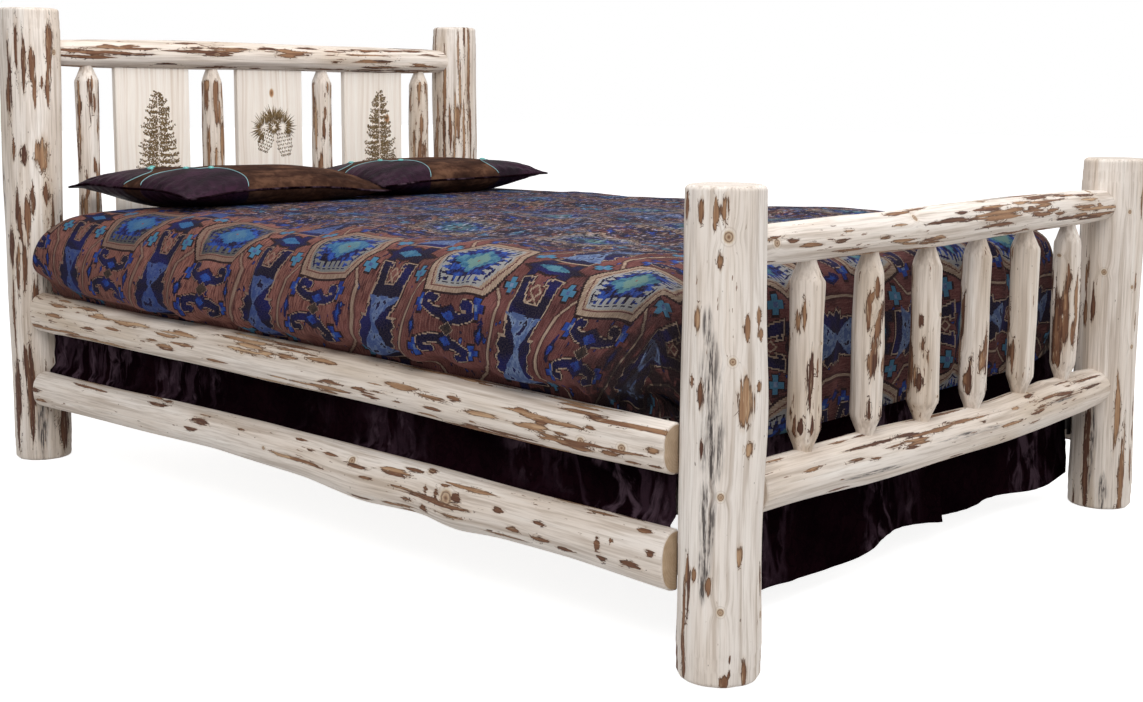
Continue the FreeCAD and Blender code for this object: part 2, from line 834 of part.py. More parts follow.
def ledger_screw_places(side):
    x = side * (rail_back_x - ledger_size)
    z = ledger_height + ledger_size / 2
    places = []
    for number in range(ledger_screw_count):
        y = (number - (ledger_screw_count - 1) / 2) * ledger_screw_gap
        places.append((V(x, y, z), V(side, 0, 0)))
    return places


def mattress_support():
    """Ledgers on the lower rails carry the slats, and a beam on two legs holds up their middles."""
    screws = []
    for side, hand in ((-1, "left"), (1, "right")):
        y = ledger_length / 2
        inner = side * (rail_back_x - ledger_size)
        ledger = block(inner, side * rail_back_x, -y, y, ledger_height, slat_bottom)
        holes = []
        for place, way in ledger_screw_places(side):
            holes.append(screw_hole(place, way, ledger_size))
            screws.append(screw_solid(place, way, ledger_size + screw_length))
        save("ledger_" + hand, [cut_all(ledger, holes)])
    save("ledger_screws", screws)
    x = rail_back_x - slat_end_gap
    for number in range(slat_count):
        y = (number - (slat_count - 1) / 2) * slat_gap
        low = y - slat_width / 2
        save("slat_%d" % (number + 1), [block(-x, x, low, low + slat_width, slat_bottom, slat_top)])
    side = beam_width / 2
    beam_bottom = slat_bottom - beam_depth
    beam = block(-side, side, -beam_length / 2, beam_length / 2, beam_bottom, slat_bottom)
    sockets = []
    legs = []
    half = leg_size / 2
    up = V(0, 0, 1)
    for number in range(leg_count):
        y = (number - (leg_count - 1) / 2) * leg_gap
        top = V(0, y, beam_bottom)
        leg = block(-half, half, y - half, y + half, 0, beam_bottom)
        legs.append(leg.fuse(bore(top, up, leg_dowel_radius, leg_dowel_length)))
        depth = leg_dowel_length + mortise_floor_gap + overrun
        sockets.append(bore(top - up * overrun, up, leg_dowel_radius + tenon_gap, depth))
    save("centre_beam", [cut_all(beam, sockets)])
    save("centre_legs", legs)


def bedding():
    spring = rounded_box(0, slat_top, box_spring_top)
    save("box_spring", [soften(spring, (slat_top, box_spring_top), mattress_edge / 2)])
    save("skirt_deck", [rounded_box(skirt_top_out / 2, deck_bottom, deck_bottom + deck_thickness)])
    mattress = rounded_box(0, mattress_bottom, mattress_top)
    save("mattress", [soften(mattress, (mattress_bottom, mattress_top), mattress_edge)])

    z_top = deck_bottom - soft_gap
    top_out = skirt_top_out / 2
    foot_top_x = half_width + top_out
    foot_hem_x = half_width + skirt_corner_out
    top = (foot_top_x, z_top, top_out, skirt_top_fold)
    hem = (foot_hem_x, z_top - skirt_drop_foot, skirt_hem_out, skirt_fold)
    foot = hanging_cloth(top, hem, foot_fold_shares, foot_depth_shares, skirt_thickness, "x", -1)
    save("skirt_foot", [foot])
    top = (half_length, z_top, top_out, skirt_top_fold)
    hem = (half_length, z_top - skirt_drop_side, skirt_side_hem_out, skirt_side_fold)
    for way, hand in ((-1, "left"), (1, "right")):
        cloth = hanging_cloth(top, hem, side_fold_shares, side_depth_shares, skirt_thickness, "y", way)
        save("skirt_" + hand, [cloth])

    cap = comforter_cap()
    inside = rounded_box(soft_gap, comforter_tuck - overrun, comforter_edge)
    inside = soften(inside, (comforter_edge,), mattress_edge)
    flap_out = comforter_foot_bulge - comforter_flap_thickness
    flap_end_x = half_width - mattress_corner / 4
    top = (flap_end_x, comforter_tuck + overrun, flap_out, comforter_flap_fold)
    hem = (flap_end_x, comforter_tuck - comforter_flap_drop, flap_out, comforter_flap_fold)
    thickness = comforter_flap_thickness
    flap = hanging_cloth(top, hem, flap_fold_shares, flap_depth_shares, thickness, "x", -1)
    save("comforter", [cap.cut(inside).fuse(flap)])

    above = cap.translated(V(0, 0, soft_gap))
    for way, hand in ((-1, "left"), (1, "right")):
        pillow = pillow_body(way * (pillow_width + pillow_gap) / 2)
        save("pillow_" + hand, [pillow.cut(above)])


def main():
    os.makedirs("parts", exist_ok=True)
    head_left = make_post(-post_x, post_y, head_post_height, head_post_radius, post_head_left_shares)
    head_right = make_post(post_x, post_y, head_post_height, head_post_radius, post_head_right_shares)
    foot_left = make_post(-post_x, -post_y, foot_post_height, foot_post_radius, post_foot_left_shares)
    foot_right = make_post(post_x, -post_y, foot_post_height, foot_post_radius, post_foot_right_shares)
    cuts = head_end(head_left, head_right) + foot_end(foot_left, foot_right)
    cuts += side_rails_and_brackets()
    posts = (
        ("head_post_left", head_left),
        ("head_post_right", head_right),
        ("foot_post_left", foot_left),
        ("foot_post_right", foot_right),
    )
    for name, post in posts:
        body = log_body(post, eased_end(post_edge), eased_end(post_edge))
        save(name, [cut_all(body, [cut for cut in cuts if cut.common(body).Volume])])
    mattress_support()
    bedding()


main()
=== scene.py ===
import math
import bpy
import numpy as np
from mathutils import Matrix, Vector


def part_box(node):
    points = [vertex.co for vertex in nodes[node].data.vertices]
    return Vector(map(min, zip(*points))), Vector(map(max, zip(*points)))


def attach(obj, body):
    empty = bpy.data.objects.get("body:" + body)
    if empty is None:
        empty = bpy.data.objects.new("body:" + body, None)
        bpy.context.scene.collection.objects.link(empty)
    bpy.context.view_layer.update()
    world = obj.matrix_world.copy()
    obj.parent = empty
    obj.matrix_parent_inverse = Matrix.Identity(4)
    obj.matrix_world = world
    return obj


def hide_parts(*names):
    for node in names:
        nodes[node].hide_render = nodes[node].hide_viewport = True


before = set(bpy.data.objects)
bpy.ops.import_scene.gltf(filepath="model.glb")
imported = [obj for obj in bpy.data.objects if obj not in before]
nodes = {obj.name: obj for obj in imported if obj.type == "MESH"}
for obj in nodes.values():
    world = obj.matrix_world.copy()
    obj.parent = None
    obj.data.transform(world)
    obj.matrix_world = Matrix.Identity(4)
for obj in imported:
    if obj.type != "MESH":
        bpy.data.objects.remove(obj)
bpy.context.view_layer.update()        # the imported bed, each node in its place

print("frame:", len(nodes), "nodes")


# shader nodes

def operator(operation, turned=False):
    return lambda one, other: sums(operation, *((other, one) if turned else (one, other)))


class Field:
    # a value, vector or colour inside a node tree; sums and products of fields add Math nodes
    __add__, __radd__ = operator("ADD"), operator("ADD", True)
    __sub__, __rsub__ = operator("SUBTRACT"), operator("SUBTRACT", True)
    __mul__, __rmul__ = operator("MULTIPLY"), operator("MULTIPLY", True)
    __truediv__ = operator("DIVIDE")

    def __init__(self, tree, socket):
        self.tree, self.socket = tree, socket

    def __abs__(self):
        return sums("ABSOLUTE", self)


def treeOf(*values):
    return next(value.tree for value in values if isinstance(value, Field))


def feed(tree, entry, value):
    # a field is linked, anything else is set; three numbers on a colour are levels of a screen
    if isinstance(value, Field):
        tree.links.new(value.socket, entry)
    elif entry.type == "RGBA" and len(value) == 3:
        entry.default_value = linear(value)
    else:
        entry.default_value = value


def sums(operation, *values, clamp=False):
    tree = treeOf(*values)
    node = tree.nodes.new("ShaderNodeMath")
    node.operation = operation
    node.use_clamp = clamp
    for entry, value in zip(node.inputs, values):
        feed(tree, entry, value)
    return Field(tree, node.outputs[0])


def chain(operation, values):
    result = values[0]
    for value in values[1:]:
        result = sums(operation, result, value)
    return result


def least(*values):
    return chain("MINIMUM", values)


def most(*values):
    return chain("MAXIMUM", values)


def fract(value):
    return sums("FRACT", value)


def reachOf(x, y):
    return sums("SQRT", x * x + y * y)


def below(value, edge):
    # 1 where the value is under the edge
    return sums("LESS_THAN", value, edge)


def fade(value, start, end):
    # 0 at start, 1 at end, with a soft foot and head
    node = value.tree.nodes.new("ShaderNodeMapRange")
    node.interpolation_type = "SMOOTHSTEP"
    feed(value.tree, node.inputs["Value"], value)
    node.inputs["From Min"].default_value = start
    node.inputs["From Max"].default_value = end
    return Field(value.tree, node.outputs["Result"])


def split(vector):
    node = vector.tree.nodes.new("ShaderNodeSeparateXYZ")
    feed(vector.tree, node.inputs[0], vector)
    return [Field(vector.tree, out) for out in node.outputs]


def joined(*values):
    tree = treeOf(*values)
    node = tree.nodes.new("ShaderNodeCombineXYZ")
    for entry, value in zip(node.inputs, values):
        feed(tree, entry, value)
    return Field(tree, node.outputs[0])


def noise(place, scales, detail, roughness, bend=0.0, shift=(0, 0, 0)):
    # noise in a place that is first stretched by the scales and then shifted
    move = place.tree.nodes.new("ShaderNodeVectorMath")
    move.operation = "MULTIPLY_ADD"
    feed(place.tree, move.inputs[0], place)
    move.inputs[1].default_value = scales
    move.inputs[2].default_value = shift
    node = place.tree.nodes.new("ShaderNodeTexNoise")
    place.tree.links.new(move.outputs[0], node.inputs["Vector"])
    for label, value in (("Scale", 1.0), ("Detail", detail), ("Roughness", roughness), ("Distortion", bend)):
        node.inputs[label].default_value = value
    return Field(place.tree, node.outputs[0])


def evenNoise(place, scale, detail, roughness, bend=0.0, shift=(0, 0, 0)):
    return noise(place, (scale, scale, scale), detail, roughness, bend, shift)


def mix(share, first, second):
    tree = treeOf(share, first, second)
    node = tree.nodes.new("ShaderNodeMix")
    node.data_type = "RGBA"
    for entry, value in zip((node.inputs[0], node.inputs[6], node.inputs[7]), (share, first, second)):
        feed(tree, entry, value)
    return Field(tree, node.outputs[2])


def paint(colour, layers):
    # each layer is a share and the colour that it lays over what is there
    for share, layer in layers:
        colour = mix(share, colour, layer)
    return colour


def ramp(value, stops):
    node = value.tree.nodes.new("ShaderNodeValToRGB")
    band = node.color_ramp
    feed(value.tree, node.inputs[0], value)
    for index, (position, colour) in enumerate(stops):
        stop = band.elements[index] if index < 2 else band.elements.new(position)
        stop.position = position
        stop.color = linear(colour)
    return Field(value.tree, node.outputs[0])


def linear(colour):
    # a colour as a screen shows it, each level from 0 to 255, made linear
    shares = [level / 255 for level in colour]
    return [share / 12.92 if share <= 0.04045 else ((share + 0.055) / 1.055) ** 2.4 for share in shares] + [1.0]


def grey(level):
    return (level, level, level, 1.0)


def attribute(tree, name):
    node = tree.nodes.new("ShaderNodeAttribute")
    node.attribute_name = name
    return Field(tree, node.outputs["Vector"])


def objectPlace(tree):
    node = tree.nodes.new("ShaderNodeTexCoord")
    return Field(tree, node.outputs["Object"])


def newGroup(name, **inputs):
    # a shader group that puts out a colour, a roughness and a height
    group = bpy.data.node_groups.new(name, "ShaderNodeTree")
    for label, kind in inputs.items():
        group.interface.new_socket(name=label, in_out="INPUT", socket_type="NodeSocket" + kind)
    for label, kind in (("Color", "Color"), ("Roughness", "Float"), ("Height", "Float")):
        group.interface.new_socket(name=label, in_out="OUTPUT", socket_type="NodeSocket" + kind)
    enter = group.nodes.new("NodeGroupInput")
    return group, [Field(group, enter.outputs[label]) for label in inputs]


def finishGroup(group, colour, roughness, height):
    leave = group.nodes.new("NodeGroupOutput")
    for entry, value in zip(leave.inputs, (colour, roughness, height)):
        feed(group, entry, value)
    return group


def useGroup(tree, group, **values):
    # the group's colour, roughness and height in this material
    node = tree.nodes.new("ShaderNodeGroup")
    node.node_tree = group
    for label, value in values.items():
        feed(tree, node.inputs[label], value)
    return [Field(tree, node.outputs[label]) for label in ("Color", "Roughness", "Height")]


def newMaterial(name):
    material = bpy.data.materials.new(name)
    material.use_nodes = True
    return material, material.node_tree


def finishMaterial(tree, colour, roughness, height=None, depth=0.001, strength=1.0, **settings):
    shader = tree.nodes["Principled BSDF"]
    feed(tree, shader.inputs["Base Color"], colour)
    feed(tree, shader.inputs["Roughness"], roughness)
    if height is not None:
        bump = tree.nodes.new("ShaderNodeBump")
        bump.inputs["Distance"].default_value = depth
        bump.inputs["Strength"].default_value = strength
        feed(tree, bump.inputs["Height"], height)
        tree.links.new(bump.outputs["Normal"], shader.inputs["Normal"])
    for label, value in settings.items():
        shader.inputs[label.replace("_", " ")].default_value = value


def mottledMaterial(name, scale, detail, grain, stops, roughness, depth, strength, **settings):
    # one noise gives both the colour and the height
    material, tree = newMaterial(name)
    level = evenNoise(objectPlace(tree), scale, detail, grain)
    finishMaterial(tree, ramp(level, stops), roughness, level, depth, strength, **settings)
    return material


# meshes

def addPiece(name, points, faces, materials, body="bed", stands=(), values=None, faceMaterial=None):
    # faces is a list of arrays, each with its own number of corners a face
    mesh = bpy.data.meshes.new(name)
    corners = np.concatenate([np.asarray(part).ravel() for part in faces])
    sizes = np.concatenate([np.full(len(part), np.shape(part)[1]) for part in faces])
    mesh.vertices.add(len(points))
    mesh.vertices.foreach_set("co", np.asarray(points, np.float32).ravel())
    mesh.loops.add(len(corners))
    mesh.loops.foreach_set("vertex_index", corners.astype(np.int32))
    mesh.polygons.add(len(sizes))
    mesh.polygons.foreach_set("loop_start", np.r_[0, np.cumsum(sizes)[:-1]].astype(np.int32))
    if faceMaterial is not None:
        mesh.polygons.foreach_set("material_index", np.asarray(faceMaterial, np.int32))
    for label, rows in (values or {}).items():
        layer = mesh.attributes.new(label, "FLOAT_VECTOR", "POINT")
        layer.data.foreach_set("vector", np.asarray(rows, np.float32).ravel())
    mesh.update(calc_edges=True)
    mesh.validate()
    mesh.shade_smooth()
    for material in materials:
        mesh.materials.append(material)
    piece = bpy.data.objects.new(name, mesh)
    bpy.context.scene.collection.objects.link(piece)
    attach(piece, body)
    if stands:
        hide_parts(*stands)
    return piece


def gridFaces(rows, columns, closed=False, start=0):
    # quads of a grid of points; closed joins the last column to the first
    row, column = np.meshgrid(np.arange(rows - 1), np.arange(columns if closed else columns - 1), indexing="ij")
    after = (column + 1) % columns
    quads = [row * columns + column, row * columns + after, (row + 1) * columns + after, (row + 1) * columns + column]
    return np.stack(quads, -1).reshape(-1, 4) + start


def closedFaces(rows, columns):
    # the quads of a grid that closes on itself, and a flat face at each end
    last = (rows - 1) * columns
    return [gridFaces(rows, columns, True), np.array([np.arange(columns)[::-1], np.arange(last, last + columns)])]


def rimOf(rows, columns):
    # the points round the edge of a grid, in order
    side, end = np.arange(1, rows) * columns, np.arange(columns - 2, -1, -1)
    return np.r_[np.arange(columns), side + columns - 1, (rows - 1) * columns + end, side[-2::-1]]


def joinParts(parts):
    # several (points, faces) as one: each part's corners are counted on from the part before
    starts = np.cumsum([0] + [len(points) for points, faces in parts])
    kinds = zip(*(faces for points, faces in parts))
    faces = [np.concatenate([part + start for part, start in zip(kind, starts)]) for kind in kinds]
    return np.concatenate([points for points, faces in parts]), faces


def flatRing(outline, z):
    return np.c_[outline, np.full(len(outline), z)]


def softNoise(x, y, cell, seed):
    # value noise: random heights at the corners of square cells, eased between them by 3t2 - 2t3
    table = np.random.default_rng(seed).uniform(-1, 1, (64, 64))
    gx, gy = x / cell, y / cell
    ix, iy = np.floor(gx).astype(int), np.floor(gy).astype(int)
    tx, ty = gx - ix, gy - iy
    tx, ty = tx * tx * (3 - 2 * tx), ty * ty * (3 - 2 * ty)
    low = table[iy % 64, ix % 64] * (1 - tx) + table[iy % 64, (ix + 1) % 64] * tx
    high = table[(iy + 1) % 64, ix % 64] * (1 - tx) + table[(iy + 1) % 64, (ix + 1) % 64] * tx
    return low * (1 - ty) + high * ty


def eased(at, places, values, spread=0.05):
    # straight lines between the values, then the mean of five points over a spread on each side
    return np.mean([np.interp(at + offset, places, values) for offset in np.linspace(-spread, spread, 5)], axis=0)


def tube(path, radius, around=10, closed=False):
    # a round cord along a path: each ring stands square to the path, turned as little as it can
    path = np.asarray(path, float)
    run = np.roll(path, -1, 0) - np.roll(path, 1, 0) if closed else np.gradient(path, axis=0)
    run /= np.linalg.norm(run, axis=1, keepdims=True)
    level = np.cross(run, (0, 0, 1.0))
    steep = np.linalg.norm(level, axis=1) < 0.15
    level[steep] = np.cross(run[steep], (0, 1.0, 0))
    level /= np.linalg.norm(level, axis=1, keepdims=True)
    rise = np.cross(level, run)
    angle = np.linspace(0, 2 * np.pi, around, endpoint=False)
    ring = np.cos(angle)[None, :, None] * level[:, None] + np.sin(angle)[None, :, None] * rise[:, None]
    points = (path[:, None] + ring * radius).reshape(-1, 3)
    if closed:
        return points, [gridFaces(len(path) + 1, around, True)[:, ::-1] % len(points)]
    return points, [part[:, ::-1] for part in closedFaces(len(path), around)]


# camera, light and floor

camera = dict(place=(-2.785, -2.658, 0.989), turn=47.39, tilt=-7.15, roll=0.34, lens=48.2, shift=-0.06)


def stand(thing, right, up, back, spot):
    # puts a camera or a lamp in place; it looks against its own back axis
    rows = np.eye(4)
    rows[:3] = np.stack([right, up, back, spot], 1)
    thing.matrix_world = Matrix(rows.tolist())
    bpy.context.scene.collection.objects.link(thing)


def addCamera(spec):
    # ahead from turn and tilt; right and up square to it, then turned by the roll
    turn, tilt, roll = (math.radians(spec[key]) for key in ("turn", "tilt", "roll"))
    ahead = np.array([math.sin(turn) * math.cos(tilt), math.cos(turn) * math.cos(tilt), math.sin(tilt)])
    right = np.array([math.cos(turn), -math.sin(turn), 0])
    up = np.cross(right, ahead)
    side = right * math.cos(roll) + up * math.sin(roll)
    over = up * math.cos(roll) - right * math.sin(roll)
    data = bpy.data.cameras.new("camera")
    data.lens = spec["lens"]
    data.sensor_width = 36
    data.shift_y = spec["shift"]
    data.clip_end = 200
    view = bpy.data.objects.new("camera", data)
    stand(view, side, over, -ahead, spec["place"])
    bpy.context.scene.camera = view


studio = dict(
    lamps=(
        # place, aim, size, watts; the last one is for the headboard
        ((-3.6, -3.0, 4.2), (0.0, -0.2, 0.4), 3.0, 138),
        ((3.8, -4.2, 3.4), (0.0, -0.2, 0.4), 3.6, 90),
        ((-0.2, 0.0, 3.8), (0.0, -0.2, 0.4), 2.4, 42),
        ((-0.4, -0.8, 2.2), (-0.2, 1.13, 0.85), 1.2, 14),
    ),
    lampColour=(1.0, 0.985, 0.965),
    worldLight=0.44,
    floorSize=60.0,
    floorGrey=0.62,
    floorGlow=0.86,
)


def addLight(colour, place, aim, size, watts):
    data = bpy.data.lights.new("lamp", "AREA")
    data.shape = "DISK"
    data.size = size
    data.energy = watts
    data.color = colour
    lamp = bpy.data.objects.new("lamp", data)
    away = np.array(place) - np.array(aim)
    away /= np.linalg.norm(away)
    right = np.cross((0, 0, 1.0), away)
    right /= np.linalg.norm(right)
    stand(lamp, right, np.cross(away, right), away, place)


def seenShare(tree):
    # 1 for what the camera, a mirror or a glass sees, 0 for the light that falls on things
    path = tree.nodes.new("ShaderNodeLightPath")
    rays = [Field(tree, path.outputs[label]) for label in ("Is Camera Ray", "Is Glossy Ray", "Is Transmission Ray")]
    return most(*rays)


def addStudio(spec):
    for lamp in spec["lamps"]:
        addLight(spec["lampColour"], *lamp)
    world = bpy.data.worlds.new("studio")
    world.use_nodes = True
    bpy.context.scene.world = world
    tree = world.node_tree
    back = tree.nodes["Background"]
    back.inputs["Color"].default_value = grey(1.0)
    seen = seenShare(tree)
    feed(tree, back.inputs["Strength"], seen * (1.0 - spec["worldLight"]) + spec["worldLight"])

    # the floor is white where the lamps reach it, and keeps the shadow of the bed
    half = spec["floorSize"] / 2
    mesh = bpy.data.meshes.new("floor")
    mesh.from_pydata([(-half, -half, 0), (half, -half, 0), (half, half, 0), (-half, half, 0)], [], [(0, 1, 2, 3)])
    floor = bpy.data.objects.new("floor", mesh)
    bpy.context.scene.collection.objects.link(floor)
    material, tree = newMaterial("studioFloor")
    finishMaterial(tree, grey(spec["floorGrey"]), 0.9, Specular_IOR_Level=0.1)
    shader = tree.nodes["Principled BSDF"]
    shader.inputs["Emission Color"].default_value = grey(1.0)
    feed(tree, shader.inputs["Emission Strength"], seenShare(tree) * spec["floorGlow"])
    mesh.materials.append(material)


addCamera(camera)
addStudio(studio)
bpy.context.scene.view_settings.view_transform = "Standard"
print("camera, light and floor")


# wood

def buildPeeledGroup():
    # peeled pine: cream wood with fibres along the log, flames of inner bark, knots and stains.
    # Place runs round the log in x and y and along it in z, in metres. Bark is under 0 inside a
    # patch of bark and Stain inside a stain. Knot holds the way to the nearest knot, round and along
    # the log, and the plain distance to it, all in sizes of that knot and 4 at most.
    group, (place, barkMark, barkTone, stainMark, knotWay, warmth) = newGroup(
        "peeledPine", Place="Vector", Bark="Float", Tone="Float", Stain="Float", Knot="Vector", Warmth="Float"
    )
    fibre = noise(place, (230, 230, 9), 3, 0.62)
    streak = noise(place, (60, 60, 2.2), 3, 0.58, 0.3, shift=(3, 1, 7))
    cloud = noise(place, (11, 11, 1.9), 3, 0.5, 0.4, shift=(9, 4, 2))
    rag = noise(place, (260, 260, 30), 3, 0.65, shift=(1, 8, 3))
    flame = noise(place, (230, 230, 10), 3, 0.62, shift=(5, 2, 6))
    wander = noise(place, (70, 70, 9), 2, 0.5, shift=(5, 2, 6))
    fleck = noise(place, (150, 150, 24), 3, 0.6, shift=(2, 5, 1))
    dots = noise(place, (150, 150, 70), 1, 0.5, shift=(6, 3, 4))

    warm = cloud + (warmth - 0.5) * 0.5
    wood = ramp(warm, [
        (0.28, (236, 228, 221)), (0.5, (226, 214, 203)), (0.66, (210, 194, 177)), (0.85, (186, 164, 141)),
    ])
    wood = paint(wood, [
        (fade(streak, 0.5, 0.68) * 0.6, (172, 154, 138)),
        (fade(streak, 0.46, 0.3) * 0.5, (243, 238, 232)),
        (fade(fibre, 0.42, 0.72) * 0.38, (148, 128, 108)),
    ])

    # grey and black stains run along the fibres inside the stain's outline
    stainEdge = stainMark + (wander - 0.5) * 2.2
    smear = (flame + rag) * 0.5
    wood = paint(wood, [
        (fade(stainEdge, 0.6, -0.6) * fade(smear, 0.36, 0.56) * 0.8, (128, 119, 114)),
        (fade(stainEdge, 0.3, -0.6) * fade(smear, 0.50, 0.57) * 0.9, (54, 47, 45)),
    ])

    # flakes of bark and pin knots that the drawknife left
    flake = fleck + (cloud - 0.5) * 0.5
    wood = paint(wood, [
        (fade(flake, 0.69, 0.71) * 0.8, (126, 92, 68)),
        (fade(flake, 0.73, 0.75) * 0.7, (84, 56, 42)),
        (fade(dots, 0.77, 0.81) * 0.7, (84, 60, 44)),
    ])

    # knots: a ring round a brown heart, and a faint painted shadow in a ring round the swell of the knot
    knotX, knotY, knotFar = split(knotWay)
    reach = most(reachOf(knotX, knotY), knotFar - 0.35) + (rag - 0.5) * 0.35
    knotColour = ramp(reach, [
        (0.0, (92, 64, 50)), (0.25, (146, 114, 88)), (0.5, (190, 166, 140)),
        (0.72, (112, 88, 72)), (0.84, (172, 146, 120)), (1.0, (208, 190, 166)),
    ])
    wood = paint(wood, [
        (fade(reach, 1.35, 0.8), knotColour),
        # painted shadow round the knot's swell
        (fade(abs(reach - 1.5), 0.22, 0.0) * 0.25, (146, 120, 96)),
    ])

    # flames of inner bark: the outline is broken up along the grain, its rim is dark and torn
    edge = barkMark + (flame - 0.5) * 2.0 + (wander - 0.5) * 0.7 + (rag - 0.5) * 0.8 + 0.2
    vein = noise(place, (44, 44, 15), 3, 0.6, 0.6, shift=(4, 9, 2))
    veinShare = fade(abs(vein - 0.5), 0.012, 0.005) * fade(barkMark, 0.5, 0.2)
    barkShare = most(fade(edge, 0.06, -0.06), veinShare)
    toned = barkTone + (streak - 0.5) * 0.9 + (fibre - 0.5) * 0.6
    bark = ramp(toned, [(0.1, (78, 48, 36)), (0.4, (118, 82, 60)), (0.68, (156, 120, 90)), (0.95, (190, 158, 126))])
    bark = paint(bark, [
        (fade(edge, -0.34, -0.08) * 0.75, (62, 40, 30)),
        (fade(rag, 0.58, 0.7) * 0.5, (206, 182, 152)),
    ])
    colour = paint(wood, [
        (fade(edge, 0.6, 0.0) * 0.3, (186, 156, 126)),
        (barkShare, bark),
    ])
    ripple = noise(place, (24, 24, 210), 1, 0.5, shift=(4, 7, 5))
    height = fibre * 0.35 + streak * 0.45 + ripple * 0.22 + barkShare * 0.55 - fade(reach, 1.1, 0.6) * 0.3
    return finishGroup(group, colour, 0.58 + barkShare * 0.2 + (streak - 0.5) * 0.12, height)


def buildSawnGroup():
    # a sawn end: growth rings round the heart, saw marks straight across, and fine checks
    group, (place, greyShare) = newGroup("sawnPine", Place="Vector", Grey="Float")
    x, y, z = split(place)
    wobble = noise(place, (22, 22, 0), 2, 0.5)
    radius = reachOf(x, y) + (wobble - 0.5) * 0.012
    rings = abs(fract(radius * 210.0) - 0.5) * 2.0
    kerf = noise(place, (14, 330, 0), 2, 0.6)
    blotch = noise(place, (40, 40, 0), 3, 0.6, shift=(3, 3, 0))
    wood = ramp(blotch, [(0.3, (208, 186, 158)), (0.6, (190, 166, 138)), (0.8, (166, 142, 116))])
    pale = ramp(blotch, [(0.3, (226, 219, 212)), (0.6, (210, 201, 193)), (0.8, (186, 175, 166))])
    colour = paint(wood, [
        (greyShare, pale),
        (rings * 0.2, (142, 110, 80)),
        (fade(kerf, 0.55, 0.75) * 0.3, (120, 96, 74)),
    ])
    return finishGroup(group, colour, 0.72 + (kerf - 0.5) * 0.2, kerf * 0.6 + rings * 0.25)


peeledPine = buildPeeledGroup()
sawnPine = buildSawnGroup()


def makeLogMaterials():
    # the groups read what each point of a log says of itself
    bark, tree = newMaterial("peeledLog")
    marks, tones = split(attribute(tree, "logMarks")), split(attribute(tree, "logTone"))
    wood = useGroup(
        tree, peeledPine, Place=attribute(tree, "logCoord"), Knot=attribute(tree, "knot"),
        Bark=marks[0], Tone=marks[1], Stain=marks[2], Warmth=tones[0],
    )
    finishMaterial(tree, *wood, 0.0012, 0.9, Specular_IOR_Level=0.35)
    sawn, tree = newMaterial("sawnEnd")
    wood = useGroup(tree, sawnPine, Place=attribute(tree, "logCoord"), Grey=split(attribute(tree, "logTone"))[1])
    finishMaterial(tree, *wood, 0.0006, 0.8, Specular_IOR_Level=0.3)
    return [bark, sawn]


logMaterials = makeLogMaterials()


def readRings(node, axis, fewest):
    # a packed log's rings: points that share a place along the axis, and the circle that fits them
    mesh = nodes[node].data
    points = np.empty(len(mesh.vertices) * 3, np.float32)
    mesh.vertices.foreach_get("co", points)
    points = np.unique(points.reshape(-1, 3).astype(float).round(5), axis=0)
    key = points[:, axis].round(4)
    rows = []
    for place in np.unique(key):
        ring = points[key == place][:, [(axis + 1) % 3, (axis + 2) % 3]]
        if len(ring) >= fewest:
            fit = np.linalg.lstsq(np.c_[2 * ring, np.ones(len(ring))], (ring ** 2).sum(1), rcond=None)[0]
            radius = math.sqrt(fit[2] + fit[0] ** 2 + fit[1] ** 2)
            low, high = ring.min(0), ring.max(0)
            rows.append((place, fit[0], fit[1], radius, low[0], high[0], low[1], high[1]))
    return np.array(rows).T


# waves in metres; the length and depth of a flat as shares of what its log says, and its reach
# round the log in radians
hewing = dict(waveLength=(0.25, 1.1), flatReach=(0.6, 1.5), flatDeep=(0.5, 1.5), flatRound=1.1)
# patches in one string: how many, how much sizes and lengths differ, width for length, and how far
# off its middle they lie, along in patch lengths and round in degrees
flameString = dict(together=(2, 6), sizes=0.35, lengths=0.4, slimness=(0.06, 0.2), apart=2.2, turned=16)


def hewnShare(angle, along, spec, rng):
    # how far out the wood stands, as a share of the girth: slow waves round and along the log,
    # cut by long shallow flats. A flat is a plane, so it stands at distance / cos(angle from its
    # middle), and its distance grows away from its middle along the log. The least is kept.
    share = np.ones((len(along), len(angle)))
    for count in range(spec["waves"]):
        turns = rng.integers(0, 4)
        length = rng.uniform(*hewing["waveLength"])
        phase = rng.uniform(0, 2 * np.pi)
        share += spec["waveDepth"] * np.cos(turns * angle[None] + 2 * np.pi * along[:, None] / length + phase)
    length = along[-1] - along[0]
    total = int(spec["flatsRound"] * max(1.0, length / spec["flatLength"]))
    for count in range(total):
        middle = rng.uniform(0, 2 * np.pi)
        centre = rng.uniform(along[0], along[-1])
        reach = spec["flatLength"] * rng.uniform(*hewing["flatReach"])
        depth = spec["flatDepth"] * rng.uniform(*hewing["flatDeep"])
        turn = (angle - middle + np.pi) % (2 * np.pi) - np.pi
        window = np.clip(1 - ((along - centre) / reach) ** 2, -3, 1)
        near = np.abs(turn) < hewing["flatRound"]
        plane = (share.mean(1) - depth * window)[:, None] / np.cos(turn[near])[None]
        share[:, near] = np.minimum(share[:, near], plane)
    return share


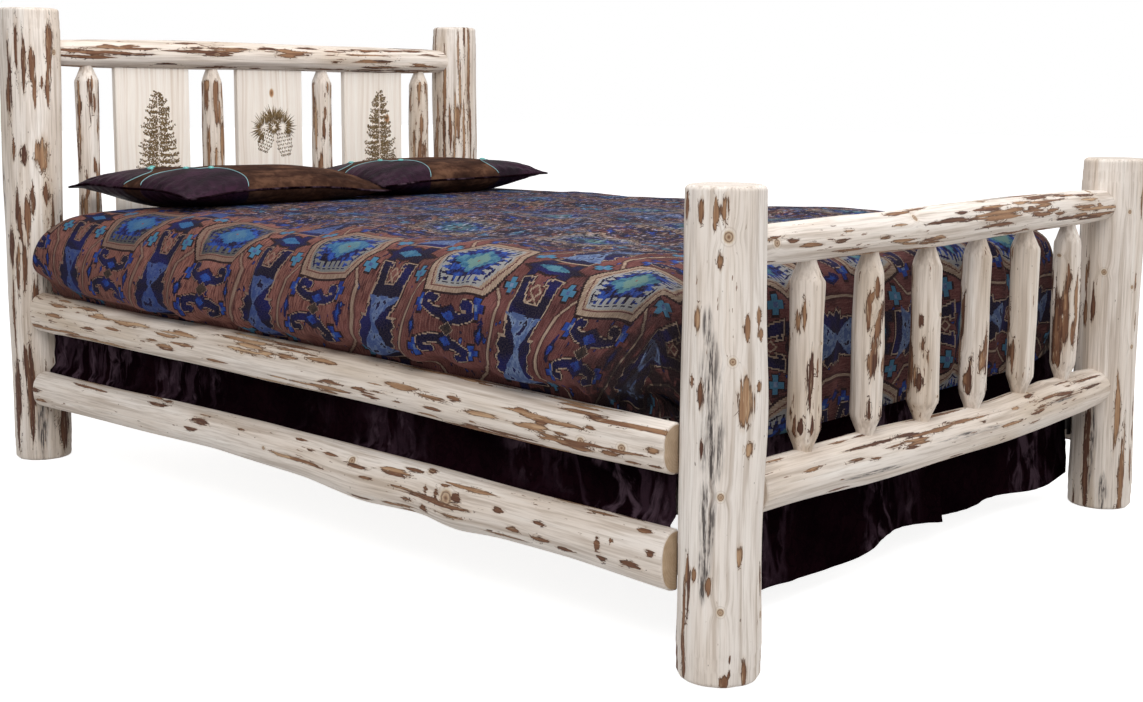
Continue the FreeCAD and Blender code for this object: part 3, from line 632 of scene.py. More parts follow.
def barkField(angle, along, girth, patches):
    # for each point the least of |across| / half width + (along / half length)^2 - 1 over the
    # patches, which is under 0 inside a pointed flame, and the tone of that patch
    field = np.full((len(along), len(angle)), 2.0)
    tone = np.full((len(along), len(angle)), 0.5)
    for middle, centre, width, length, bend, shade in patches:
        turn = (angle - math.radians(middle) + np.pi) % (2 * np.pi) - np.pi
        step = (along - centre) / length
        rows = np.abs(step) < 1.8
        across = turn[None] * girth - bend * (step[rows, None] ** 2)
        tapered = width * (1 + 0.35 * np.tanh(step[rows, None]) * np.sign(bend + 1e-6))
        value = np.abs(across) / tapered + step[rows, None] ** 2 - 1
        nearer = value < field[rows]
        field[rows] = np.where(nearer, value, field[rows])
        tone[rows] = np.where(nearer, shade, tone[rows])
    return np.clip(field, -1.5, 2.0), tone


def scatterPatches(rng, low, high, spec):
    # flames lie in loose strings along the log, of two to five each
    rows = []
    while len(rows) < int(spec["patches"] * (high - low)):
        middle, centre = rng.uniform(0, 360), rng.uniform(low, high)
        size = math.exp(rng.normal(0, flameString["sizes"]))
        for count in range(rng.integers(*flameString["together"])):
            length = spec["patchLength"] * size * math.exp(rng.normal(0, flameString["lengths"]))
            width = min(length * rng.uniform(*flameString["slimness"]), spec["patchWidth"])
            at = centre + rng.normal(0, flameString["apart"]) * spec["patchLength"]
            turn, bend = middle + rng.normal(0, flameString["turned"]), rng.uniform(-1, 1) * width
            rows.append((turn, at, width, length, bend, rng.uniform(*spec["tones"])))
    return rows


def knotField(angle, along, girth, knots):
    # for each point: the way to the nearest knot, round and along the log, and its plain distance,
    # in knot sizes; then how far the wood swells round the knots, and how far its grain turns
    shape = (len(along), len(angle))
    wayX, wayY, best = np.full(shape, 4.0), np.full(shape, 4.0), np.full(shape, 6.0)
    swell, turned = np.zeros(shape), np.zeros(shape)
    for middle, centre, size, height in knots:
        turn = (angle - math.radians(middle) + np.pi) % (2 * np.pi) - np.pi
        x = np.repeat(turn[None] * girth / size, len(along), 0)
        y = np.repeat((along[:, None] - centre) / (size * 1.15), len(angle), 1)
        reach = np.hypot(x, y)
        nearer = reach < best
        best = np.where(nearer, reach, best)
        wayX, wayY = np.where(nearer, x, wayX), np.where(nearer, y, wayY)
        swell += height * np.exp(-(reach / 2.6) ** 2)
        turned += x * size / girth * 0.9 * np.exp(-(reach / 2.2) ** 2)
    return np.clip(np.stack([wayX, wayY, best], -1), -4, 4), swell, turned


def metres(rows, lengths):
    # tables hold an angle, so many lengths in mm, and at times a tone
    return [(row[0], *(size * 0.001 for size in row[1:lengths + 1]), *row[lengths + 1:]) for row in rows]


def placedMarks(spec, rng, turns, low, high):
    # the knots, patches and stains whose places are given, and knots at random up to the count
    knots = metres(spec["knots"], 3)
    while len(knots) < spec["knotCount"]:
        turn, centre = rng.uniform(*turns), rng.uniform(low, high)
        knots.append((turn, centre, rng.uniform(*spec["knotSize"]), rng.uniform(0, spec["knotRise"])))
    return knots, metres(spec["placed"], 4), [row + (0, 0) for row in metres(spec["stains"], 3)]


def rowsOfLog(low, high, spec, tenons=(None, None)):
    # rows from one end of a log to the other: (place, share of the full radius, radius that the
    # rest of the share has, drop in radius at an eased edge, 1 where the faces after it are sawn)
    edge = spec["edge"]

    def endRows(end, inwards, tenon):
        rows, inner, first = [], 0.0, 0.05
        if tenon is not None:
            inner, first = spec["tenonRadius"], 0.25
            rows += [(tenon, 0.0, inner * share, 0.0, 1) for share in (0.05, 0.6, 1.0)]
            rows += [(end, 0.0, inner, 0.0, 1)]
        rows += [(end, share, inner, edge, 1) for share in np.linspace(first, 1.0, 6)]
        for turn in (0.3, 0.65, 1.0, 1.3, 1.571):
            rows.append((end + inwards * edge * (1 - math.cos(turn)), 1.0, 0.0, edge * (1 - math.sin(turn)), 0))
        return rows
    start, finish = endRows(low, 1, tenons[0]), endRows(high, -1, tenons[1])
    count = max(2, int(round((high - low - 2 * edge) / spec["step"])))
    body = [(place, 1.0, 0.0, 0.0, 0) for place in np.linspace(low + edge, high - edge, count)[1:-1]]
    table = np.array(start + body + finish[::-1])
    return table[:, :4], table[:, 4].astype(int)


def besideSawn(sawn):
    # rows that a sawn face touches
    return ((sawn > 0) | (np.r_[0, sawn[:-1]] > 0))[:, None, None]


def drawnIn(rows, full):
    # the radius of each row: its share of the full one, and an inner radius for the rest
    return rows[:, 1, None] * (full - rows[:, 3, None]) + (1 - rows[:, 1, None]) * rows[:, 2, None]


def addLog(node, points, faces, sawn, coord, marks, knot, spec):
    wide = points.shape[1]
    tones = np.broadcast_to(np.array([spec["warmth"], spec["endGrey"], 0.0]), coord.shape)
    addPiece(
        node + "_log", points.reshape(-1, 3), faces, logMaterials, stands=[node],
        values={"logCoord": coord, "logMarks": marks, "knot": knot, "logTone": tones},
        faceMaterial=np.r_[np.repeat(sawn[:-1], wide), 1, 1],
    )


def roundAngles(spec):
    return np.linspace(0, 2 * np.pi, spec["around"], endpoint=False)


def wrapLog(node, axis, rows, sawn, centres, full, girth, spec, rng, marks, bare=0.0):
    # rings of points: centre + radius * (cos, sin) across the axis, closed by a small flat at each
    # end. The grain turns round the knots, and lies flat across the sawn ends. Marks are the knots,
    # patches and stains, and bare is how far the bark is held off.
    knots, patches, stains = marks
    angle = roundAngles(spec)
    knot, swell, turned = knotField(angle, rows[:, 0], girth, knots)
    radii = drawnIn(rows, full + swell)
    ring = np.stack([np.cos(angle), np.sin(angle)], -1)[None] * radii[..., None] + centres[:, None]
    points = np.empty((len(rows), len(angle), 3))
    points[..., axis] = rows[:, 0, None]
    points[..., (axis + 1) % 3] = ring[..., 0]
    points[..., (axis + 2) % 3] = ring[..., 1]
    field, tone = barkField(angle, rows[:, 0], girth, patches)
    stain = barkField(angle, rows[:, 0], girth, stains)[0]
    bent, length = angle[None] + turned, np.repeat(rows[:, 0, None], len(angle), 1)
    coord = np.stack([radii * np.cos(bent), radii * np.sin(bent), length], -1) + rng.uniform(0, 40, 3)
    flat = np.stack([radii * np.cos(angle), radii * np.sin(angle), np.zeros_like(radii)], -1)
    coord = np.where(besideSawn(sawn), flat, coord)
    marks = np.stack([field + bare, tone, stain], -1)
    addLog(node, points, closedFaces(len(rows), len(angle)), sawn, coord, marks, knot, spec)


def makeLog(node, axis, spec, tenon=False):
    rng = np.random.default_rng(spec["seed"])
    place, centreA, centreB, radius = readRings(node, axis, spec["fewest"])[:4]
    middle = np.median(radius)
    body = radius > middle * 0.88
    if tenon:
        low, high = place[body][0] - spec["shoulder"], place[body][-1] + spec["shoulder"]
        rows, sawn = rowsOfLog(low, high, spec, (place[0], place[-1]))
    else:
        low, high = place[0], place[-1]
        rows, sawn = rowsOfLog(low, high, spec)
    at = rows[:, 0]
    girth = eased(at, place[body], radius[body])
    centres = np.stack([eased(at, place[body], centreA[body]), eased(at, place[body], centreB[body])], -1)
    knots, patches, stains = placedMarks(spec, rng, (0, 360), low, high)
    for patch in scatterPatches(rng, low, high, spec):
        if not spec["keepClear"] or not (spec["keepClear"][0] < patch[0] < spec["keepClear"][1]):
            patches.append(patch)
    full = girth[:, None] * hewnShare(roundAngles(spec), at, spec, rng)
    wrapLog(node, axis, rows, sawn, centres, full, middle, spec, rng, (knots, patches, stains))


plainLog = dict(
    fewest=16, around=96, step=0.008, edge=0.009, shoulder=0.024, tenonRadius=0.0254,
    waves=7, waveDepth=0.004, flatsRound=9, flatLength=0.22, flatDepth=0.022,
    patches=40, patchLength=0.040, patchWidth=0.006, tones=(0.15, 0.85),
    knotCount=5, knotSize=(0.004, 0.008), knotRise=0.003, knots=(), placed=(), stains=(), keepClear=None,
    warmth=0.45, endGrey=1.0,
)

# the near post: angle round it, height, half width, half length, lean (mm) and tone of its flames
nearPostPatches = (
    (-180, 795, 7, 27, 2, 0.5), (-157, 797, 6, 34, -4, 0.7), (-146, 800, 7, 30, 5, 0.7), (-151, 716, 6, 20, 1, 0.75),
    (177, 619, 8, 31, 2, 0.75), (-113, 606, 7, 26, 3, 0.55), (-90, 625, 7, 18, 0, 0.6), (-87, 594, 9, 12, 0, 0.65),
    (-113, 490, 16, 50, -3, 0.75), (-92, 509, 7, 12, 2, 0.55), (-175, 492, 7, 32, 1, 0.3), (169, 516, 5, 13, 0, 0.5),
    (-106, 405, 10, 18, 3, 0.7), (-115, 227, 6, 26, 1, 0.7), (-64, 172, 6, 36, 0, 0.35), (-158, 175, 7, 20, 3, 0.55),
    (-179, 191, 5, 16, 0, 0.6), (-106, 24, 7, 34, 0, 0.5), (-136, 8, 8, 20, 2, 0.5), (-128, 52, 2, 9, 0, 0.2),
    (-127, 26, 2, 10, 0, 0.2), (-173, 405, 4, 20, 0, 0.1), (163, 25, 5, 27, 0, 0.35), (149, 800, 7, 28, 0, 0.4),
)
headPostPatches = (
    (-81, 1090, 12, 90, 2, 0.4), (-101, 813, 20, 55, 4, 0.7), (-135, 811, 10, 34, 2, 0.1),
    (-94, 711, 10, 40, 3, 0.3), (-166, 955, 8, 64, 2, 0.3), (-176, 148, 16, 150, 4, 0.05),
    (-140, 178, 12, 165, 3, 0.1), (-73, 90, 22, 80, 4, 0.05), (-116, 1040, 8, 60, 2, 0.4),
    (-132, 644, 8, 78, 3, 0.4), (-86, 536, 10, 92, 3, 0.4), (-122, 432, 9, 79, 3, 0.3),
    (-145, 1078, 6, 105, 2, 0.2), (-130, 1058, 7, 92, -2, 0.3), (-112, 972, 6, 58, 3, 0.4),
    (-87, 985, 8, 66, 3, 0.4), (-160, 1005, 6, 135, 0, 0.1), (-153, 665, 7, 70, 4, 0.2), (-120, 700, 6, 62, -3, 0.3),
    (-172, 568, 12, 66, 0, 0.0), (-140, 540, 7, 95, -6, 0.2), (-172, 400, 8, 110, 0, 0.2), (-150, 262, 9, 54, 0, 0.1),
)
posts = {
    "foot_post_left": dict(
        seed=11, patches=36, placed=nearPostPatches, keepClear=(172, 306), knotCount=8,
        knots=((-139, 757, 9, 0.4), (-132, 554, 6, 0.4), (-144, 329, 6, 1.0), (-141, 134, 6, 0.3), (-64, 113, 6, 0.4)),
        stains=((-166, 610, 9, 40), (-161, 500, 15, 105), (-159, 400, 17, 80), (-161, 290, 15, 85), (-165, 195, 9, 50)),
        # a paler tone, partly the post's own and partly painted light standing in for the stronger light on this post
        warmth=0.26,
    ),
    "foot_post_right": dict(
        seed=23, patches=84, patchLength=0.060, patchWidth=0.009, tones=(0.1, 0.7), warmth=0.60,
        stains=((-175, 160, 9, 110), (-150, 40, 8, 50), (-60, 300, 8, 80)),
    ),
    "head_post_left": dict(
        seed=35, patches=40, placed=headPostPatches, patchLength=0.055, patchWidth=0.008, tones=(0.1, 0.7), warmth=0.44,
        stains=((-120, 100, 12, 110), (170, 700, 8, 90), (-100, 420, 8, 120)),
    ),
    "head_post_right": dict(seed=47, patches=150, patchLength=0.105, patchWidth=0.0052, tones=(0.3, 0.8), warmth=0.46),
}
for node, settings in posts.items():
    makeLog(node, 2, {**plainLog, **settings})
print("posts")

railLog = dict(
    plainLog, around=64, edge=0.004, waveDepth=0.006, flatDepth=0.03,
    patchLength=0.055, patchWidth=0.0045, patches=84, endGrey=0.55,
)
rails = {
    # the foot's top rail has a paler tone, partly its own and partly painted light standing in for the stronger light
    # on its front
    "foot_top_rail": dict(seed=101, warmth=0.22, stains=((-60, -400, 7, 70), (80, 150, 8, 90), (-100, 450, 6, 60))),
    "foot_lower_rail": dict(
        seed=112, warmth=0.48, patches=78, patchWidth=0.0036, tones=(0.1, 0.7),
        stains=((200, -350, 4, 140), (170, 0, 4, 150), (160, 420, 4, 110)),
    ),
    "head_top_rail": dict(seed=124, warmth=0.44, patches=100, tones=(0.1, 0.6)),
    "head_lower_rail": dict(seed=135, warmth=0.5),
}
for node, settings in rails.items():
    makeLog(node, 0, {**railLog, **settings}, tenon=True)
print("rails of the head and foot")


# spindles: short logs with hewn, tapering necks

spindleLog = dict(
    plainLog, fewest=12, around=40, step=0.006, edge=0.0015, waveDepth=0.014, waves=5, flatsRound=9, flatLength=0.12,
    flatDepth=0.05, patches=70, patchLength=0.034, patchWidth=0.004, knotCount=2, knotSize=(0.0025, 0.005),
    knotRise=0.0004, knotsFrom=0.08, patchesFrom=0.05, neckFlats=7, neckOver=1.03, neckCut=3, neckBare=2.5,
    sway=0.003,
)


def makeSpindle(node, spec):
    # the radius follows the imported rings; over each neck it is cut to a many-sided cone
    rng = np.random.default_rng(spec["seed"])
    place, centreA, centreB, radius = readRings(node, 2, spec["fewest"])[:4]
    low, high = place[0], place[-1]
    rows, sawn = rowsOfLog(low, high, spec)
    angle = roundAngles(spec)
    at = rows[:, 0]
    girth = np.interp(at, place, radius)
    neckLow = np.clip((at - place[1]) / (place[2] - place[1]), 0, 1)
    neckHigh = np.clip((place[-2] - at) / (place[-2] - place[-3]), 0, 1)
    taper = np.minimum(neckLow, neckHigh)
    centres = np.stack([eased(at, place, centreA), eased(at, place, centreB)], -1)
    lean = rng.uniform(-spec["sway"], spec["sway"], 2)
    centres += lean[None] * (1 - (2 * (at - low) / (high - low) - 1) ** 2)[:, None]
    share = hewnShare(angle, at, spec, rng)
    sector = 2 * np.pi / spec["neckFlats"]
    turned = (angle + rng.uniform(0, 1)) % sector - sector / 2
    flats = math.cos(sector / 2) / np.cos(turned) * spec["neckOver"]
    cut = np.clip((1 - taper) * spec["neckCut"], 0, 1)[:, None]
    share = share * (1 - cut) + flats[None] * cut
    start, end = low + spec["knotsFrom"], high - spec["knotsFrom"]
    knots = []
    for count in range(spec["knotCount"]):
        knots.append((rng.uniform(0, 360), rng.uniform(start, end), rng.uniform(*spec["knotSize"]), spec["knotRise"]))
    patches = scatterPatches(rng, low + spec["patchesFrom"], high - spec["patchesFrom"], spec)
    bare = (1 - taper)[:, None] * spec["neckBare"]                      # no bark is left on a hewn neck
    full = girth[:, None] * share
    wrapLog(node, 2, rows, sawn, centres, full, np.median(radius), spec, rng, (knots, patches, []), bare)


for count in range(1, 7):
    warmth = 0.48 + 0.08 * (count % 3)
    makeSpindle("foot_spindle_%d" % count, dict(spindleLog, seed=200 + count, warmth=warmth, tones=(0.0, 0.7)))
headSpindle = dict(spindleLog, patchLength=0.060, patchWidth=0.0034, patches=150, warmth=0.46, tones=(0.3, 0.8))
for count in range(1, 5):
    makeSpindle("head_spindle_%d" % count, dict(headSpindle, seed=300 + count))
print("spindles")


# side rails: half logs with a sawn back

halfLog = dict(
    fewest=10, step=0.008, edge=0.005, around=48, back=10, fullness=2.5, waves=7, waveDepth=0.006, flatsRound=7,
    flatLength=0.3, flatDepth=0.03, patches=100, patchLength=0.055, patchWidth=0.0058, tones=(0.2, 0.9),
    knotCount=4, knotSize=(0.004, 0.009), knotRise=0.003, knots=(), placed=(), stains=(),
    warmth=0.5, endGrey=0.1, barkRadius=0.055, ease=0.03, heart=0.42,
)


def makeHalfLog(node, spec):
    # a half round: out = depth * share * cos, up = half height * share * sin, where the share is a
    # full superellipse times the hewn share; the back is a flat saw cut from top to bottom
    rng = np.random.default_rng(spec["seed"])
    rings = readRings(node, 1, spec["fewest"])
    place, zLow, zHigh, xLow, xHigh = rings[0], rings[4], rings[5], rings[6], rings[7]
    side = 1 if xLow.mean() > 0 else -1
    backX = xLow.min() if side > 0 else xHigh.max()
    depth = (xHigh - backX) if side > 0 else (backX - xLow)
    inner = slice(2, -2)
    rows, sawn = rowsOfLog(place[0], place[-1], spec)
    at = rows[:, 0]
    out, low, high = (eased(at, place[inner], line[inner], spec["ease"]) for line in (depth, zLow, zHigh))
    middle, half = (low + high) / 2, (high - low) / 2
    front = np.linspace(-np.pi / 2, np.pi / 2, spec["around"])
    power = spec["fullness"]
    full = (np.abs(np.cos(front)) ** power + np.abs(np.sin(front)) ** power) ** (-1 / power)
    share = hewnShare(front, at, spec, rng) * full[None]
    share = share / share.max()
    girth = spec["barkRadius"]
    knots, patches, stains = placedMarks(spec, rng, (-80, 80), at[0], at[-1])
    for patch in scatterPatches(rng, at[0], at[-1], spec):
        patches.append(((patch[0] % 200) - 100,) + patch[1:])
    knot, swell, turned = knotField(front, at, girth, knots)
    share = share + swell / girth
    inset = rows[:, 3, None] / half[:, None]
    scale = rows[:, 1, None] * (share - inset)
    height = middle[:, None] + half[:, None] * scale * np.sin(front)
    reach = out[:, None] * scale * np.cos(front)
    # the back edge goes straight from the top corner down to the bottom corner
    down = np.linspace(0, 1, spec["back"] + 2)[1:-1]
    backHeight = height[:, -1:] * (1 - down) + height[:, :1] * down
    x = np.concatenate([backX + side * reach, np.full((len(at), spec["back"]), backX)], 1)
    z = np.concatenate([height, backHeight], 1)
    # rows of the sawn ends are the end's outline drawn in to the middle of the section
    middleX = backX + side * out[:, None] * spec["heart"]
    points = np.stack([x, np.repeat(at[:, None], x.shape[1], 1), z], -1)
    capRows = rows[:, 1] < 1
    ringLow, ringHigh = np.argmax(~capRows), len(capRows) - 1 - np.argmax(~capRows[::-1])
    for index in np.flatnonzero(capRows):
        source = ringLow if index < ringLow else ringHigh
        heart = np.array([middleX[source, 0], at[source], middle[source]])
        points[index] = heart + (points[source] - heart) * rows[index, 1]
    faces = closedFaces(len(rows), x.shape[1])
    if side > 0:
        faces = [part[:, ::-1] for part in faces]
    field, tone = barkField(front, at, girth, patches)
    stain = barkField(front, at, girth, stains)[0]
    # the sawn back has no bark, stain or knot
    back = np.ones((len(at), spec["back"], 3))
    marks = np.concatenate([np.stack([field, tone, stain], -1), back * (2, 0, 2)], 1)
    knot = np.concatenate([knot, back * 4], 1)
    around = np.stack([z - middle[:, None], x - backX, points[..., 1]], -1) + rng.uniform(0, 40, 3)
    flat = np.stack([points[..., 2] - middle[:, None], points[..., 0] - backX, np.zeros_like(x)], -1)
    addLog(node, points, faces, sawn, np.where(besideSawn(sawn), flat, around), marks, knot, spec)


# the two near rails: angle up from the front, place along, half width, half length, lean, tone
lowerRailPatches = (
    (3, 1050, 8, 42, 3, 0.2), (-27, 1029, 5, 36, -3, 0.3), (50, 488, 9, 51, 6, 0.2),
    (75, 476, 7, 33, -6, 0.3), (28, 307, 9, 47, -5, 0.2),
    (0, 334, 8, 32, 6, 0.25), (50, 290, 5, 32, 3, 0.4), (35, 143, 4, 22, 0, 0.3),
    (60, -475, 9, 17, 3, 0.3), (17, -472, 12, 8, 2, 0.25),
    (17, -504, 12, 8, 0, 0.2), (19, -560, 11, 16, -4, 0.1), (34, -527, 4, 16, 2, 0.4),
    (-24, -464, 11, 14, -5, 0.2), (-17, -416, 5, 23, 0, 0.3),
    (15, -675, 7, 21, 1, 0.3), (12, -777, 5, 22, -2, 0.35), (-23, -782, 9, 30, 3, 0.25),
    (-17, -712, 7, 23, -3, 0.3), (-31, -845, 5, 29, 0, 0.25),
    (2, -924, 16, 9, 0, 0.3), (-24, -933, 11, 14, 6, 0.2), (-16, -997, 7, 31, -3, 0.3),
    (54, -1021, 7, 20, 0, 0.4), (14, -1044, 7, 15, 3, 0.3),
    (17, -955, 8, 6, 0, 0.4), (36, -174, 4, 29, 0, 0.35), (7, -295, 4, 31, 0, 0.3),
    (51, -62, 4, 27, 2, 0.4), (53, 748, 5, 38, 0, 0.4),
)
upperRailPatches = (
    (8, 943, 7, 49, 0, 0.5), (-35, 1030, 7, 46, 0, 0.4), (-75, 1050, 7, 42, 2, 0.3),
    (49, 788, 7, 60, 0, 0.6), (5, 664, 5, 40, 0, 0.5),
    (29, 617, 7, 60, -2, 0.6), (-45, 867, 7, 43, 0, 0.4), (-2, 487, 5, 34, 0, 0.5),
    (33, 370, 7, 48, 0, 0.7), (-19, 428, 5, 49, 0, 0.4),
    (34, 99, 9, 60, 2, 0.75), (27, -29, 7, 48, 0, 0.5), (-25, 229, 5, 53, 0, 0.5),
    (36, -145, 8, 60, 0, 0.7), (-14, -185, 7, 45, 0, 0.4),
    (-32, -312, 5, 30, 0, 0.4), (14, -404, 9, 60, 2, 0.7), (15, -554, 8, 27, 0, 0.5),
    (-22, -490, 5, 39, 0, 0.4), (-46, -592, 7, 32, 0, 0.35),
    (-75, -647, 7, 37, -2, 0.4), (6, -787, 7, 22, 0, 0.5), (23, -733, 5, 22, 0, 0.6),
    (-10, -836, 5, 21, 0, 0.5), (-31, -884, 7, 37, 0, 0.5),
    (-28, -951, 7, 27, 0, 0.5), (-41, -997, 5, 22, 0, 0.5), (38, -1014, 5, 19, 0, 0.5),
    (-1, -1048, 9, 21, 0, 0.6), (19, -906, 4, 16, 0, 0.4),
    (-70, -933, 5, 30, 0, 0.3), (-38, -1049, 5, 19, 0, 0.4),
)
halfLogs = {
    "side_rail_upper_left": dict(seed=411, patches=44, placed=upperRailPatches, warmth=0.5, tones=(0.3, 1.0)),
    "side_rail_lower_left": dict(
        seed=422, patches=16, placed=lowerRailPatches, warmth=0.38, endGrey=0.0,
        knots=((14, -535, 15, 5), (35, -245, 9, 2), (60, -470, 7, 2)),
    ),
    "side_rail_upper_right": dict(seed=433),
    "side_rail_lower_right": dict(seed=444, patches=80),
}
for node, settings in halfLogs.items():
    makeHalfLog(node, {**halfLog, **settings})
print("side rails")


# head panels: washed boards with burnt drawings

def buildBoardGroup():
    # planed pine with a thin white wash; Place has the grain along z
    group, (place, wash) = newGroup("washedPine", Place="Vector", Wash="Float")
    x, y, z = split(place)
    drift = noise(place, (4, 4, 1.3), 2, 0.5, shift=(2, 6, 1))
    rings = evenNoise(joined(x * 95.0 + drift * 9.0, y * 95.0, z * 1.5), 1, 2, 0.5, 0.2)
    fibre = noise(place, (420, 420, 14), 3, 0.6)
    blotch = noise(place, (14, 14, 3), 3, 0.55, shift=(4, 2, 8))
    raw = ramp(rings, [(0.3, (226, 200, 164)), (0.5, (208, 176, 134)), (0.68, (176, 138, 98))])
    white = ramp(rings, [(0.3, (250, 246, 241)), (0.52, (246, 239, 232)), (0.7, (232, 220, 208))])
    colour = paint(raw, [
        (wash, white),
        (fade(fibre, 0.4, 0.75) * 0.14, (176, 150, 126)),
        (fade(blotch, 0.5, 0.75) * 0.2, (218, 206, 198)),
    ])
    return finishGroup(group, colour, 0.62 + (fibre - 0.5) * 0.2, rings * 0.6 + fibre * 0.4)


washedPine = buildBoardGroup()


def boardMaterial(name, wash, turn, knots=()):
    # turn says which way the grain runs: a Mapping node brings it to z
    material, tree = newMaterial(name)
    node = tree.nodes.new("ShaderNodeMapping")
    node.inputs["Rotation"].default_value = turn
    place = objectPlace(tree)
    feed(tree, node.inputs["Vector"], place)
    colour, roughness, height = useGroup(tree, washedPine, Place=Field(tree, node.outputs[0]), Wash=wash)
    x, y, z = split(place)
    for knotX, knotZ, wide, tall in knots:
        reach = reachOf((x - knotX) / wide, (z - knotZ) / tall)
        heart = ramp(reach, [(0.0, (104, 70, 46)), (0.6, (168, 122, 84)), (1.0, (206, 178, 146))])
        colour = mix(fade(reach, 1.25, 0.8), colour, heart)
    finishMaterial(tree, colour, roughness, height, 0.0006, 0.8, Specular_IOR_Level=0.3)
    return material


def dress(node, material):
    mesh = nodes[node].data
    mesh.materials.clear()
    mesh.materials.append(material)


# knots of the boards: place across and up, half width, half height
boardKnots = ((0.004, 0.976, 0.008, 0.013), (0.455, 0.895, 0.010, 0.015))
panelBoard = boardMaterial("panelBoard", 0.88, (0, 0, 0), boardKnots)
timberAlongX = boardMaterial("timberAlongX", 0.15, (0, math.pi / 2, 0))
timberAlongY = boardMaterial("timberAlongY", 0.15, (math.pi / 2, 0, 0))
timberUpright = boardMaterial("timberUpright", 0.15, (0, 0, 0))
for node in ("head_panel_left", "head_panel_centre", "head_panel_right"):
    dress(node, panelBoard)
for count in range(1, 6):
    dress("slat_%d" % count, timberAlongX)
for node in ("ledger_left", "ledger_right", "centre_beam"):
    dress(node, timberAlongY)
dress("centre_legs", timberUpright)

drawing = dict(
    face=0.0004, depth=0.0006,
    trunk=0.0036, branches=2, branchDroop=(0.1, 0.3), dabStep=0.0042, dabs=3, dabWidth=(0.0042, 0.0076),
    dabLong=(0.004, 0.008), dabLean=1.3, dabAstray=0.002,
    needles=76, needleWidth=(0.0030, 0.0046), scaleRows=7, scaleWidth=0.0050, scaleHalf=0.0056, scaleLong=0.0092,
    rimWidth=0.0026, twigWidth=0.005,
)
burntStops = [(0.3, (84, 66, 42)), (0.7, (132, 110, 78))]
burntLine = mottledMaterial("burntLine", 160, 2, 0.5, burntStops, 0.85, 0.0003, 0.5, Specular_IOR_Level=0.2)


def addStrokes(name, node, strokes):
    # each stroke is a closed sliver: two tips, and four corners a third of the way along it
    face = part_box(node)[0][1]
    starts, ends, widths = (np.array(column, float) for column in zip(*strokes))
    run = ends - starts
    length = np.linalg.norm(run, axis=1, keepdims=True) + 1e-9
    side = np.stack([-run[:, 1], run[:, 0]], 1) / length * widths[:, None] / 2
    middle = starts + run * 0.35
    front, behind = face - drawing["face"], face + drawing["depth"]

    def lift(flat, y):
        return np.stack([flat[:, 0], np.full(len(flat), y), flat[:, 1]], 1)
    level = (front + behind) / 2
    corners = [lift(flat, level) for flat in (starts, ends, middle + side, middle - side)]
    points = np.stack(corners + [lift(middle, front), lift(middle, behind)], 1).reshape(-1, 3)
    faces = np.array([(0, 2, 4), (0, 4, 3), (0, 3, 5), (0, 5, 2), (1, 4, 2), (1, 3, 4), (1, 5, 3), (1, 2, 5)])
    triangles = (faces[None] + 6 * np.arange(len(starts))[:, None, None]).reshape(-1, 3)
    addPiece(name, points, [triangles], [burntLine])


def drawConifer(name, node, spec):
    # branches leave the trunk in whorls, longer lower down and drooping; each carries short dabs
    rng = np.random.default_rng(spec["seed"])
    strokes = []
    top, foot, x = spec["top"], spec["foot"], spec["middle"]
    heights = np.linspace(foot, top, 12)
    for a, b in zip(heights, heights[1:]):
        width = drawing["trunk"] * (1.25 - (a - foot) / (top - foot))
        strokes.append(((x, a), (x + rng.uniform(-0.001, 0.001), b + 0.006), width))
    for level in np.linspace(0.03, 0.985, spec["whorls"]):
        z = foot + (top - foot) * level
        spread = spec["halfWidth"] * (1 - level) ** 0.52 * rng.uniform(0.84, 1.08) + 0.003
        for way in (-1, 1):
            for branch in range(drawing["branches"]):
                reach = spread * (1 - 0.42 * branch) * rng.uniform(0.85, 1.08)
                droop = -rng.uniform(*drawing["branchDroop"]) * reach
                base = np.array([x, z + rng.uniform(-0.005, 0.005)])
                steps = max(3, int(reach / drawing["dabStep"]))
                for step in range(steps):
                    share = (step + rng.uniform(0.4, 1.0)) / steps
                    spot = base + np.array([way * reach * share, droop * share + 0.25 * reach * share ** 3])
                    for dab in range(drawing["dabs"]):
                        lean = rng.uniform(-drawing["dabLean"], drawing["dabLean"])
                        long = rng.uniform(*drawing["dabLong"])
                        start = spot + rng.uniform(-drawing["dabAstray"], drawing["dabAstray"], 2)
                        end = start + np.array([way * long * math.cos(lean), long * math.sin(lean)])
                        strokes.append((start, end, rng.uniform(*drawing["dabWidth"])))
    addStrokes(name, node, strokes)


